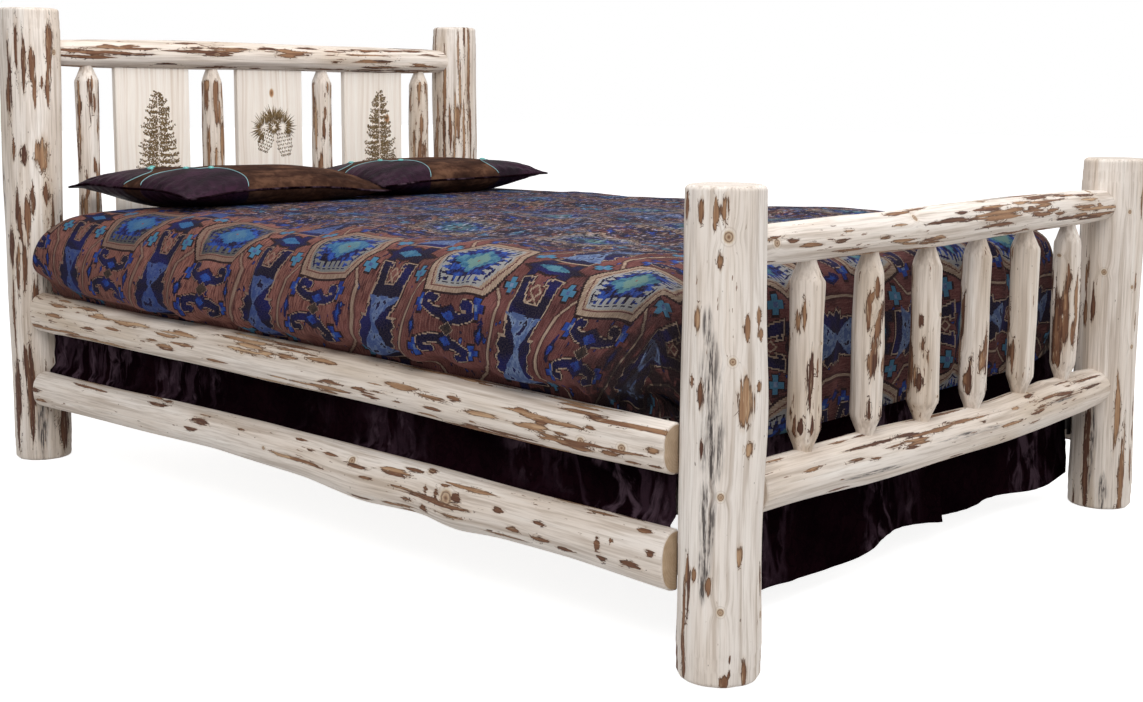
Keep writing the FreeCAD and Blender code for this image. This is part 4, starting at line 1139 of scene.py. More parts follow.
def drawCones(name, node, spec):
    # fans of long needles from a twig, and cones: rows of V-shaped scales, each row half a scale on
    # from the last, inside an outline whose half width is the root of a sine along the cone
    rng = np.random.default_rng(spec["seed"])
    strokes = []

    def halfWidth(wide, share):
        return wide * math.sin(math.pi * min(1, share * 0.82 + 0.14)) ** 0.55
    for x, z, low, high, long in spec["fans"]:
        for angle in np.radians(np.linspace(low, high, drawing["needles"])):
            length = long * rng.uniform(0.55, 1.0)
            angle += rng.uniform(-0.08, 0.08)
            way = np.array([math.cos(angle), math.sin(angle)])
            start = np.array([x, z]) + way * long * rng.uniform(0.1, 0.35)
            strokes.append((start, start + way * length, rng.uniform(*drawing["needleWidth"])))
    for x, z, tilt, long, wide in spec["cones"]:
        turn = math.radians(tilt)
        root = np.array([x, z])
        down = np.array([math.sin(turn), -math.cos(turn)])
        across = np.array([math.cos(turn), math.sin(turn)])
        for row in range(drawing["scaleRows"]):
            share = (row + 0.4) / drawing["scaleRows"]
            half = halfWidth(wide, share)
            steps = np.arange(-2, 3) + (0.5 if row % 2 else 0.0)
            for offset in steps[np.abs(steps) <= 2.4] / 2.4:
                spot = root + down * long * share + across * half * math.sin(offset * 1.5)
                for way in (-1, 1):
                    start = spot + across * way * drawing["scaleHalf"] - down * 0.002
                    strokes.append((start, spot + down * drawing["scaleLong"], drawing["scaleWidth"]))
        for way in (-1, 1):
            shares = np.linspace(0, 1, 12)
            rim = [root + down * long * share + across * way * halfWidth(wide, share) for share in shares]
            for first, second in zip(rim, rim[1:]):
                strokes.append((first, second + (second - first) * 0.5, drawing["rimWidth"]))
    for points in spec["twigs"]:
        strokes += [(first, second, drawing["twigWidth"]) for first, second in zip(points, points[1:])]
    addStrokes(name, node, strokes)


drawConifer("panel_tree_left", "head_panel_left", dict(
    seed=5, middle=-0.386, foot=0.735, top=0.978, halfWidth=0.072, whorls=26,
))
drawConifer("panel_tree_right", "head_panel_right", dict(
    seed=9, middle=0.424, foot=0.729, top=0.983, halfWidth=0.067, whorls=33,
))
drawCones("panel_cones", "head_panel_centre", dict(
    seed=12,
    # fans: middle, first and last angle, length; cones: hanging point, tilt, length, half width
    fans=(
        (-0.022, 0.872, 55, 262, 0.052), (0.042, 0.876, -58, 128, 0.050),
        (0.010, 0.884, 35, 150, 0.056), (0.010, 0.876, 0, 350, 0.030),
    ),
    cones=((-0.008, 0.868, -20, 0.070, 0.025), (0.044, 0.862, 8, 0.076, 0.026)),
    twigs=(((0.012, 0.905), (0.012, 0.882), (-0.006, 0.866)), ((0.012, 0.882), (0.042, 0.864))),
))
print("head panels")


# iron and zinc

def metalMaterial(name, dark, pale, roughness):
    material, tree = newMaterial(name)
    place = objectPlace(tree)
    mottled = evenNoise(place, 90, 3, 0.6)
    fine = evenNoise(place, 900, 2, 0.5)
    colour = mix(mottled, dark, pale)
    finishMaterial(tree, colour, roughness + (mottled - 0.5) * 0.2, fine, 0.0002, 0.4, Metallic=1.0)
    return material


blackSteel = metalMaterial("blackSteel", (26, 25, 25), (52, 50, 48), 0.5)
zincSteel = metalMaterial("zincSteel", (150, 150, 146), (206, 206, 200), 0.35)
for node in ("rail_brackets_left", "rail_brackets_right"):
    dress(node, blackSteel)
for node in ("bracket_screws", "ledger_screws", "bracket_bolts"):
    dress(node, zincSteel)


# mattress and box spring

def tickingMaterial(name, pale, shade):
    # woven ticking: fine raised stripes over a soft twill
    material, tree = newMaterial(name)
    place = objectPlace(tree)
    x, y, z = split(place)
    stripe = abs(fract((x + y) * 42.0) - 0.5) * 2.0
    twill = evenNoise(place, 700, 2, 0.6)
    soil = evenNoise(place, 5, 3, 0.5)
    colour = mix(fade(stripe, 0.35, 0.5) * 0.5 + (soil - 0.5) * 0.4, pale, shade)
    colour = mix(fade(twill, 0.4, 0.7) * 0.15, colour, (150, 142, 130))
    finishMaterial(tree, colour, 0.9, twill * 0.6 + stripe * 0.4, 0.0005, 0.7, Sheen_Weight=0.1)
    return material


mattressTicking = tickingMaterial("mattressTicking", (232, 228, 220), (206, 202, 196))
springTicking = tickingMaterial("springTicking", (214, 208, 196), (186, 180, 168))


def boxOutline(halfX, halfY, radius, corner=8, straight=18):
    # a round-cornered rectangle, the same number of points at any size
    parts = []
    for index, (sx, sy) in enumerate(((1, -1), (1, 1), (-1, 1), (-1, -1))):
        angle = np.radians(np.linspace(-90, 0, corner) + 90 * index)
        centre = np.array([sx * (halfX - radius), sy * (halfY - radius)])
        parts.append(centre + radius * np.stack([np.cos(angle), np.sin(angle)], 1))
    points = []
    for first, second in zip(parts, parts[1:] + parts[:1]):
        points.append(first)
        share = np.linspace(0, 1, straight + 2)[1:-1, None]
        points.append(first[-1] * (1 - share) + second[0] * share)
    return np.concatenate(points)


padding = dict(flat=(0.70, 0.45, 0.2), rim=0.02, sideRows=26, seamWidth=0.035, dentCell=0.12, weltIn=0.28, weltUp=0.3)


def paddedBox(name, node, spec, material):
    # outlines drawn in by an inset, row by row from the middle of the underside to the middle of the
    # top: a quarter round of the edge's radius below and above, and seams pressed in between
    low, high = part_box(node)
    halfX, halfY = (high[0] - low[0]) / 2, (high[1] - low[1]) / 2
    edge, z0, z1 = spec["edge"], low[2], high[2]
    quarter = np.linspace(0, math.pi / 2, 6)
    flat = (*spec["flat"], edge + spec["rim"])
    rows = [(inset, z0) for inset in flat]
    rows += [(edge * (1 - math.sin(turn)), z0 + edge * (1 - math.cos(turn))) for turn in quarter]
    for z in np.linspace(z0 + edge, z1 - edge, spec["sideRows"])[1:-1]:
        share = (z - z0 - edge) / (z1 - z0 - 2 * edge)
        seams = sum(math.exp(-((share - line) / spec["seamWidth"]) ** 2) for line in spec["seams"])
        rows.append((spec["seamDepth"] * seams, z))
    rows += [(edge * (1 - math.cos(turn)), z1 - edge * (1 - math.sin(turn))) for turn in quarter]
    rows += [(inset, z1) for inset in flat[::-1]]
    rings = []
    for inset, z in rows:
        rings.append(flatRing(boxOutline(halfX - inset, halfY - inset, max(spec["corner"] - inset, 0.015)), z))
    points = np.concatenate(rings)
    wide = len(rings[0])
    way = points[:, :2] / np.linalg.norm(points[:, :2], axis=1, keepdims=True)
    dent = softNoise(points[:, 0] + points[:, 1], points[:, 2] * 2, spec["dentCell"], spec["seed"]) * spec["dent"]
    edgeShare = np.repeat([1.0 if inset < edge * 0.5 else 0.0 for inset, z in rows], wide)
    points[:, :2] -= way * (np.abs(dent) * edgeShare)[:, None]
    piece = addPiece(name, points, closedFaces(len(rows), wide), [material], stands=[node])
    drawn, raised = edge * spec["weltIn"], edge * spec["weltUp"]
    outline = boxOutline(halfX - drawn, halfY - drawn, spec["corner"] - drawn)
    levels = (z0 + raised, z1 - raised)
    points, faces = joinParts([tube(flatRing(outline, z), spec["welt"], 8, True) for z in levels])
    addPiece(name + "_welts", points, faces, [material])


paddedBox("mattress_pad", "mattress", dict(
    padding, edge=0.03, corner=0.14, seams=(0.33, 0.66), seamDepth=0.004, dent=0.003, welt=0.0045, fill=0.8, seed=71,
), mattressTicking)
paddedBox("box_spring_pad", "box_spring", dict(
    padding, edge=0.014, corner=0.09, seams=(), seamDepth=0.0, dent=0.0015, welt=0.004, fill=0.9, seed=72,
), springTicking)
print("mattress and box spring")


# bed skirt

def hideMaterial():
    # leather: a fine pebble, longer creases darkened with painted shade, and painted sheen, paler, along the folds
    material, tree = newMaterial("skirtHide")
    place = objectPlace(tree)
    pebble = evenNoise(place, 330, 2, 0.55)
    ridge = abs(evenNoise(place, 26, 4, 0.62, 0.8) - 0.5) * 2.0
    cloud = evenNoise(place, 6, 3, 0.5)
    # the sheen along the folds is painted in, as soft upright streaks and crinkled patches in clusters
    fold = noise(place, (8, 8, 2.4), 4, 0.6, 0.4, shift=(5, 5, 5))
    cluster = noise(place, (2.6, 2.6, 1.0), 2, 0.5, shift=(7, 2, 5))
    crumple = noise(place, (20, 20, 11), 4, 0.6, 0.8, shift=(2, 9, 1))
    colour = mix(fade(cloud, 0.3, 0.75), (10, 3, 6), (24, 9, 15))
    colour = paint(colour, [
        # painted shade in the creases
        (fade(ridge, 0.12, 0.0) * 0.5, (6, 3, 5)),
        (fade(abs(fold - 0.5), 0.05, 0.0) * fade(cluster, 0.44, 0.6) * 0.6, (60, 44, 54)),
        (fade(crumple, 0.50, 0.66) * fade(cluster, 0.47, 0.57) * 0.8, (78, 62, 72)),
    ])
    height = pebble * 0.3 + fade(ridge, 0.0, 0.14) * 0.7
    finishMaterial(tree, colour, 0.6 + (pebble - 0.5) * 0.25, height, 0.0014, 0.8, Specular_IOR_Level=0.0)
    return material


skirtHide = hideMaterial()
deckCloth = mottledMaterial("deckCloth", 420, 2, 0.6, [(0, (50, 44, 46)), (1, (76, 70, 70))], 0.95, 0.0004, 0.6)


def sheetMesh(name, node, points, materials, thickness):
    rows, columns = points.shape[:2]
    piece = addPiece(name, points.reshape(-1, 3), [gridFaces(rows, columns)], materials, stands=[node])
    solid = piece.modifiers.new("thickness", "SOLIDIFY")
    solid.thickness = thickness
    solid.offset = 0
    down = np.linalg.norm(np.diff(points, axis=0), axis=2).sum(0).mean()
    across = np.linalg.norm(np.diff(points, axis=1), axis=2).sum(1).mean()
    return piece, round(float(across), 3), round(float(down), 3)


skirt = dict(
    columns=300, rows=64, sideRows=34, thickness=0.0016, end=0.750,
    # place across, half width, how far each fold stands out, lean of the fold over the drop
    footFolds=(
        (-0.62, 0.07, 0.012, 0.02), (-0.40, 0.05, 0.010, -0.03), (-0.17, 0.06, 0.016, 0.02),
        (0.03, 0.045, 0.012, 0.03), (0.105, 0.028, 0.030, 0.02), (0.165, 0.022, -0.012, 0.0),
        (0.26, 0.05, 0.016, 0.03), (0.44, 0.06, 0.014, -0.02), (0.62, 0.06, 0.012, 0.02),
    ),
    # how far out each side hangs, and the least and most that its folds may reach
    footOut=1.0208, footLeast=1.0195, footMost=1.084, footEndsMost=1.062, footFlare=0.022,
    sideOut=0.7655, sideLeast=0.7645, sideMost=0.779,
    # the sides' hem lies over the ends of the slats, from this height down
    hemOut=0.7848, hemFrom=0.262, hemEase=0.014,
    creaseDepth=0.0045, sideCrease=0.006, sideHem=0.226, sideEnd=1.052,
)


def creases(x, z, depth, seed):
    # ridged noise on two slanting sets of lines: depth * (1 - |noise| * 2), sharp along the ridges
    first = 1 - np.abs(softNoise(x * 0.8 + z * 0.9, z * 0.5 - x * 0.35, 0.085, seed)) * 2
    second = 1 - np.abs(softNoise(x - z * 0.5, z + x * 0.5, 0.035, seed + 1)) * 2
    return depth * (0.7 * first + 0.3 * second)


def footSkirt(spec):
    low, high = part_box("skirt_foot")
    across = np.linspace(-spec["end"], spec["end"], spec["columns"])[None]
    share = np.linspace(0, 1, spec["rows"])[:, None]
    hem = low[2] + 0.004 + 0.010 * np.sin(across * 6.3 + 0.8) + 0.008 * np.sin(across * 15.1 + 2.0)
    z = high[2] - 0.001 - (high[2] - 0.001 - hem) * share
    ends = np.clip((np.abs(across) - 0.62) / 0.1, 0, 1) * np.minimum(1, share * 2)
    out = spec["footOut"] + spec["footFlare"] * share ** 1.3 + spec["footFlare"] * ends
    for middle, wide, depth, lean in spec["footFolds"]:
        off = (across - middle - lean * share) / (wide * (0.7 + 0.5 * share))
        out = out + depth * np.exp(-off ** 2) * share ** 0.8
    out = out + creases(across, z, spec["creaseDepth"], 81) * np.minimum(1, share * 5)
    out = np.clip(out, spec["footLeast"], np.where(np.abs(across) > 0.66, spec["footEndsMost"], spec["footMost"]))
    points = np.stack([across + 0 * z, -out, z], -1)[:, ::-1]
    piece, wide, tall = sheetMesh("skirt_foot_hide", "skirt_foot", points, [skirtHide], spec["thickness"])
    return wide, tall


def sideSkirt(side, spec):
    node = "skirt_right" if side > 0 else "skirt_left"
    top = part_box(node)[1][2]
    along = np.linspace(-spec["sideEnd"], spec["sideEnd"], spec["columns"])[None]
    share = np.linspace(0, 1, spec["sideRows"])[:, None]
    z = top - 0.001 - (top - spec["sideHem"]) * share + 0 * along
    crease = creases(along, z * 1.2, spec["sideCrease"], 91 if side > 0 else 97) * np.minimum(1, share * 4)
    out = np.clip(spec["sideOut"] + 0.004 * share + crease, spec["sideLeast"], spec["sideMost"])
    out = out + (spec["hemOut"] - out) * np.clip((spec["hemFrom"] - z) / spec["hemEase"], 0, 1)
    points = np.stack([side * out, along + 0 * z, z], -1)
    if side < 0:
        points = points[:, ::-1]
    piece, wide, tall = sheetMesh(node + "_hide", node, points, [skirtHide], spec["thickness"])
    return wide, tall


def deckSheet():
    low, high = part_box("skirt_deck")
    under = [(inset, low[2]) for inset in (0.74, 0.3, 0.0)]
    over = [(inset, high[2]) for inset in (0.0, 0.3, 0.74)]
    rows = []
    for inset, z in under + over:
        rows.append(flatRing(boxOutline(high[0] - inset, high[1] - inset, max(0.09 - inset, 0.01)), z))
    faces = closedFaces(len(rows), len(rows[0]))
    piece = addPiece("skirt_deck_cloth", np.concatenate(rows), faces, [deckCloth], stands=["skirt_deck"])


deckSheet()
print("skirt foot", footSkirt(skirt), "sides", sideSkirt(-1, skirt), sideSkirt(1, skirt))


# comforter

def buildWovenGroup(spec):
    # a kilim cloth: medallions in rows, and between the rows hourglass figures and curled bars.
    # Cloth holds metres along and across the cloth, snapped to threads so that edges are stepped,
    # and third how deep a point lies in the folds of a corner.
    group, (cloth,) = newGroup("wovenKilim", Cloth="Vector")
    rawX, rawY, fold = split(cloth)
    sway = noise(cloth, (6, 6, 0), 2, 0.5)
    drift = noise(cloth, (5, 5, 0), 2, 0.5, shift=(3, 1, 0))
    top = fade(abs(rawY), 0.66, 0.56) * fade(rawX, 0.52, 0.62)        # the top of the bed, where the cloth is rumpled
    jumble = noise(cloth, (17, 21, 0), 3, 0.6, shift=(4, 6, 0))
    jostle = noise(cloth, (21, 16, 0), 3, 0.6, shift=(1, 3, 0))
    faint = fade(rawX, 0.45, 1.75)                 # 0 at the foot, 1 at the head; the colours below shift with it
    x = rawX + (sway - 0.5) * spec["sway"] + rawY * spec["slant"] + (jumble - 0.5) * top * spec["rumple"]
    y = rawY + (drift - 0.5) * 0.03 + (jostle - 0.5) * top * 0.10
    x, y = sums("SNAP", x, spec["thread"]), sums("SNAP", y, spec["thread"])
    period, band = spec["period"], spec["band"]
    row = (y - spec["firstRow"]) / band
    column = (x - spec["firstColumn"]) / period
    a = (fract(column + 0.5) - 0.5) * period       # along, from the middle of a medallion
    b = (fract(row + 0.5) - 0.5) * band            # across, from the middle of a medallion
    c = (fract(column) - 0.5) * period             # along, from between two medallions
    up = (fract(row) - 0.5) * band                 # across, from between two rows
    absA, absB, absC, absUp = abs(a), abs(b), abs(c), abs(up)

    streak = noise(cloth, (420, 34, 0), 2, 0.6)
    patchy = noise(cloth, (9, 16, 0), 3, 0.55, shift=(3, 3, 0))
    thread = noise(cloth, (260, 700, 0), 1, 0.5, shift=(5, 1, 0))
    mottle = noise(cloth, (60, 52, 0), 2, 0.6, shift=(8, 2, 0))
    ground = ramp(patchy, [(0.3, (50, 23, 25)), (0.5, (76, 40, 39)), (0.7, (102, 61, 60))])
    ground = paint(ground, [
        (fade(streak, 0.42, 0.7) * 0.45, (126, 86, 82)),
        (fade(streak, 0.42, 0.25) * 0.5, (33, 16, 18)),
        (faint * fade(streak, 0.35, 0.6) * 0.6, (142, 98, 86)),
    ])
    navy = mix(fade(patchy, 0.4, 0.7), (6, 7, 30), (13, 19, 72))
    royal = mix(fade(mottle, 0.35, 0.65), (14, 32, 100), (30, 66, 138))
    pale = mix(fade(mottle, 0.4, 0.6), (63, 81, 120), (106, 123, 151))
    pale = mix(faint * 0.7, pale, (20, 40, 100))
    teal = mix(fade(mottle, 0.4, 0.6), (34, 80, 104), (70, 112, 126))
    teal = mix(faint * 0.75, teal, (34, 78, 130))
    beige = mix(fade(streak, 0.35, 0.7), (122, 103, 88), (160, 142, 126))
    beige = mix(faint * 0.62, beige, (92, 62, 56))
    wine = (29, 14, 17)
    scatter = noise(cloth, (46, 30, 0), 2, 0.5, shift=(2, 7, 0))
    scatter = scatter + (top - 1.0) * 0.12
    colour = mix(fade(scatter, 0.53, 0.54), ground, navy)
    colour = paint(colour, [
        (fade(scatter, 0.565, 0.575), royal),
        (fade(scatter, 0.595, 0.605), pale),
    ])
    speckle = noise(cloth, (64, 40, 0), 2, 0.5, shift=(9, 1, 0)) + (top - 1.0) * 0.5
    colour = mix(fade(speckle, 0.60, 0.61), colour, beige)

    # lines that bend round the figures and run on to the medallions
    bend = absC - most(absUp - 0.055, 0.0) * 0.85 - 0.078
    colour = paint(colour, [
        (below(abs(bend), 0.0085) * 0.5, wine),
        (below(abs(bend), 0.0035), beige),
    ])

    # crosses beside the medallions
    for left, high, centre in ((0.124, 0.050, (58, 104, 132)), (0.070, 0.114, royal)):
        crossX, crossY = abs(absA - left), abs(absB - high)
        cross = least(most(crossX / 0.018, crossY / 0.007), most(crossX / 0.007, crossY / 0.018))
        colour = paint(colour, [
            (below(cross, 1.25), wine),
            (below(cross, 1.0), centre),
            (below(most(crossX, crossY), 0.005), pale),
        ])

    # the medallion from its rim in: two beige bands, a pale field with hooks, toothed blue, a cross
    hidden = fade(abs(rawY), 0.950, 0.956) * 9.0
    medal = most(absB / 0.088, (absA + absB * 0.42) / 0.112) + hidden
    field = mix(faint, (134, 138, 152), (34, 66, 124))
    colour = paint(colour, [
        (below(medal, 1.05), wine),
        (below(medal, 1.0), beige),
        (below(medal, 0.895), (84, 50, 48)),
        (below(medal, 0.865), beige),
        (below(medal, 0.81), field * fade(streak, 0.1, 0.5)),
    ])
    toothAlong = below(abs(fract(a / 0.0185) - 0.5), 0.2)
    toothAcross = abs(fract(b / 0.0145) - 0.5) * 2.0
    flank = below(absB / 0.088, (absA + absB * 0.42) / 0.112)
    tooth = flank * toothAcross * 1.3 + (1.0 - flank) * toothAlong
    hookAlong = below(abs(fract(a / 0.0185 + 0.14) - 0.5), 0.3)
    colour = paint(colour, [
        (below(medal, tooth * 0.15 + 0.55), mix(fade(mottle, 0.4, 0.6), navy, royal)),
        (below(abs(medal - 0.745), hookAlong * 0.022), navy),
    ])
    stepA, stepB = sums("SNAP", absA, 0.0075), sums("SNAP", absB, 0.0065)
    colour = paint(colour, [
        (below(stepA / 0.058 + stepB / 0.034 + hidden, 1.0), teal),
        (below(stepA / 0.032 + stepB / 0.022 + hidden, 0.9), mix(faint * 0.8, (92, 122, 116), teal)),
        (below(most(absA, absB) + hidden, 0.0028), (120, 60, 56)),
    ])

    # sprigs between medallions of a row
    sprig = least(absC / 0.066 + absB / 0.024, most(abs(absC - 0.034) / 0.011, absB / 0.032))
    colour = paint(colour, [
        (below(sprig, 1.25), wine),
        (below(sprig, 1.0), navy),
        (below(absC / 0.036 + absB / 0.014, 1.0), teal),
    ])

    # curled bars between two medallions, like a ram's horns, in a pair that mirror one another. One
    # half is drawn from straight pieces
    lift = absUp - 0.024 - a * sums("SIGN", up) * 0.10

    def bar(x0, y0, x1, y1):
        # distance to a straight piece: to the nearest point of its middle line
        dx, dy = x1 - x0, y1 - y0
        px, py = absA - x0, lift - y0
        share = sums("MULTIPLY", (px * dx + py * dy), 1 / (dx * dx + dy * dy), clamp=True)
        return reachOf(px - share * dx, py - share * dy)

    line = ((0.0, 0.0), (0.036, 0.0), (0.060, 0.008), (0.058, 0.025), (0.042, 0.024))
    curl = least(*(bar(*first, *second) for first, second in zip(line, line[1:]))) + absA * 0.06
    body = absA / 0.040 + abs(lift) / 0.020
    colour = paint(colour, [
        (least(below(curl, 0.0138) + below(body, 1.12), 1.0), wine),
        (below(curl, 0.0122), beige),
        (below(curl, 0.0102), navy),
        (below(body, 1.0), navy),
        (below(body, 0.52), royal),
    ])
    middle = absA / 0.022 + absUp / 0.013
    colour = paint(colour, [
        (below(middle, 1.1), beige),
        (below(middle, 0.98), mix(fade(mottle, 0.4, 0.6), (30, 26, 26), (58, 46, 40))),
    ])

    # small dark leaves beside the bars
    leaf = abs(absA - 0.086) / 0.013 + absUp / 0.026 + (mottle - 0.5) * 1.6
    colour = paint(colour, [
        (below(leaf, 1.0), navy),
        (below(leaf, 0.5), royal),
    ])

    # the hourglass figure: two horns, a head, wings at the waist and a skirt, all in one outline
    spread = absC - (up - 0.07) * 0.22
    horns = most(abs(spread - 0.025) - 0.0095, abs(up - 0.088) - 0.034)
    tips = most(abs(spread - 0.019) - 0.012, abs(up - 0.116) - 0.006 + spread * 0.3)
    head = most(absC - 0.037, abs(up - 0.050) - 0.018)
    chest = most(absC - 0.036 + abs(up - 0.02) * 0.25, abs(up - 0.015) - 0.035)
    jag = abs(fract(up / 0.022) - 0.5) * 0.016
    wings = most(absC - 0.052 + jag, abs(up + 0.030) - 0.032)
    skirtPart = most(absC - 0.030 + up * 0.12, abs(up + 0.075) - 0.035)
    figure = least(horns, tips, head, chest, wings, skirtPart)
    colour = paint(colour, [
        (below(figure, 0.0065), wine),
        (below(figure, 0.0045), beige),
        (below(figure, 0.0012), navy),
    ])
    hour = most(absC - abs(up + 0.012) * 0.62 - 0.004, up - 0.046, -0.092 - up)
    hook = most(abs(absC - abs(fract((up - 0.07) / 0.026) - 0.5) * 0.022) - 0.0022, abs(up - 0.090) - 0.020)
    colour = paint(colour, [
        (below(hour + (mottle - 0.5) * 0.02, 0.0), pale),
        (below(hour, -0.006) * fade(mottle, 0.56, 0.60), navy),
        (below(hook, 0.0), beige),
    ])

    # painted shade and light: the bunched corner at the foot is darkened with painted shade, the rumpled top gets dark
    # patches of painted shade, pale painted glints and pale painted highlights in fine sparks among dark navy ones, and
    # the foot drop is darkened with painted shade
    bunch = noise(cloth, (34, 34, 0), 2, 0.5, 0.6, shift=(2, 2, 0))
    tuckedShade = fade(fold, 0.22, 0.7) * fade(rawX, 1.0, 0.6)
    rumple = noise(cloth, (22, 9, 0), 3, 0.6, 0.8, shift=(6, 2, 0))
    glint = noise(cloth, (70, 26, 0), 2, 0.5, 0.5, shift=(3, 8, 0))
    spark = noise(cloth, (110, 52, 0), 2, 0.5, 0.4, shift=(4, 4, 0))
    colour = paint(colour, [
        (tuckedShade * fade(bunch, 0.66, 0.46) * 0.92, (12, 8, 14)),
        (top * fade(rumple, 0.35, 0.65) * 0.5, (16, 9, 24)),
        (top * fade(glint, 0.62, 0.68) * fade(rumple, 0.6, 0.45) * 0.55, (170, 158, 166)),
        (top * fade(spark, 0.50, 0.42) * 0.85, (10, 8, 24)),
        (top * fade(spark, 0.62, 0.67) * 0.7, (158, 150, 164)),
        (fade(rawX, 0.44, 0.34) * 0.28, (18, 10, 14)),
    ])

    # the weave: fine threads, faded and dyed unevenly
    colour = paint(colour, [
        (fade(thread, 0.35, 0.7) * 0.09, (150, 132, 130)),
        (fade(thread, 0.45, 0.25) * 0.35, (14, 8, 16)),
    ])
    return finishGroup(group, colour, 0.86 + (thread - 0.5) * 0.1, thread * 0.5 + streak * 0.5)


# metres: thread, a medallion along, a row across, and where the first ones stand; then how far the
# rows sway, slant and are rumpled on the top
weaving = dict(
    thread=0.0026, period=0.40, band=0.31, firstColumn=0.357, firstRow=-0.748,
    sway=0.035, slant=0.04, rumple=0.12,
)
wovenKilim = buildWovenGroup(weaving)
wovenComforter, tree = newMaterial("wovenComforter")
woven = useGroup(tree, wovenKilim, Cloth=attribute(tree, "cloth"))
finishMaterial(tree, *woven, 0.0007, 0.8, Specular_IOR_Level=0.06)

comforter = dict(
    spacing=0.0115, flatX=0.50, flatY=0.74, footPower=4.5, headPower=30.0,
    # outwards from the flat middle and height: outside and inside, at the sides, foot and head
    side=(
        (0, 0.687), (0.14, 0.680), (0.228, 0.667), (0.273, 0.643), (0.289, 0.6256), (0.3127, 0.5866), (0.333, 0.545),
        (0.339, 0.51), (0.3365, 0.487), (0.322, 0.471), (0.300, 0.4655), (0.281, 0.456), (0.2785, 0.428),
    ),
    foot=(
        (0, 0.6845), (0.113, 0.679), (0.23, 0.666), (0.283, 0.645), (0.2945, 0.6256), (0.3055, 0.5866),
        (0.312, 0.55), (0.312, 0.475), (0.311, 0.426), (0.3095, 0.385), (0.3085, 0.35),
    ),
    head=(
        (0, 0.6845), (0.113, 0.679), (0.23, 0.665), (0.288, 0.645), (0.303, 0.6256), (0.313, 0.5866),
        (0.316, 0.55), (0.316, 0.50), (0.312, 0.48),
    ),
    sideIn=(
        (0, 0.644), (0.20, 0.644), (0.245, 0.640), (0.259, 0.629),
        (0.2630, 0.60), (0.2632, 0.55), (0.2632, 0.50), (0.2632, 0.428),
    ),
    footIn=(
        (0, 0.644), (0.22, 0.644), (0.262, 0.640), (0.2745, 0.629), (0.2768, 0.60), (0.2768, 0.50), (0.2768, 0.35),
    ),
    headIn=((0, 0.644), (0.22, 0.644), (0.262, 0.640), (0.2745, 0.629), (0.2768, 0.60), (0.2768, 0.48)),
    soften=0.012, puff=0.010, puffCells=(0.23, 0.11), wrinkle=0.0095, wrinkleCells=(0.16, 0.09), cornerFold=0.030,
    # gathers: how deep, and waves on a metre times 2 pi; the middle of the hem lies below both faces
    gather=0.0075, gatherTurns=52, hemDrop=0.006,
    # the pillows start here along the bed, and the cloth is flat a little further on
    pillowsFrom=0.55, fill=0.45,
)


def arcLength(line):
    line = np.array(line)
    return np.r_[0, np.cumsum(np.hypot(*np.diff(line, axis=0).T))], line


def walk(line, share, soften):
    # the place at a share of a line's length, its corners softened
    length, line = arcLength(line)
    at = np.clip(share, 0, 1) * length[-1]
    spots = [np.clip(at + offset, 0, length[-1]) for offset in np.linspace(-soften, soften, 5)]
    return [np.mean([np.interp(spot, length, line[:, axis]) for spot in spots], axis=0) for axis in (0, 1)]


def comforterShell(spec, across, along, inside=""):
    # a flat middle, and a border that goes out and down: q is how far over the border a point is,
    # and round a corner the way out turns on a full round of the given power
    reachSide, reachFoot, reachHead = (arcLength(spec[edge])[0][-1] for edge in ("side", "foot", "head"))
    overX = np.maximum(np.abs(across) - spec["flatX"], 0) / reachSide
    foot = along < 0
    overY = np.maximum(np.abs(along) - spec["flatY"], 0) / np.where(foot, reachFoot, reachHead)
    q = np.maximum(overX, overY)
    power = np.where(foot, spec["footPower"], spec["headPower"])
    norm = (overX ** power + overY ** power) ** (1 / power) + 1e-9
    wayX, wayY = overX / norm, overY / norm
    (outX, highX), (outFoot, highFoot), (outHead, highHead) = (
        walk(spec[edge + inside], q, spec["soften"]) for edge in ("side", "foot", "head")
    )
    outY = np.where(foot, outFoot, outHead)
    highY = np.where(foot, highFoot, highHead)
    weight = overY ** 2 / (overX ** 2 + overY ** 2 + 1e-9)
    z = np.where(q <= 0, spec["side" + inside][0][1], highX * (1 - weight) + highY * weight)
    x = np.sign(across) * (np.minimum(np.abs(across), spec["flatX"]) + wayX * outX)
    y = np.sign(along) * (np.minimum(np.abs(along), spec["flatY"]) + wayY * outY)
    return np.stack([x, y, z], -1), q, weight, overX, overY


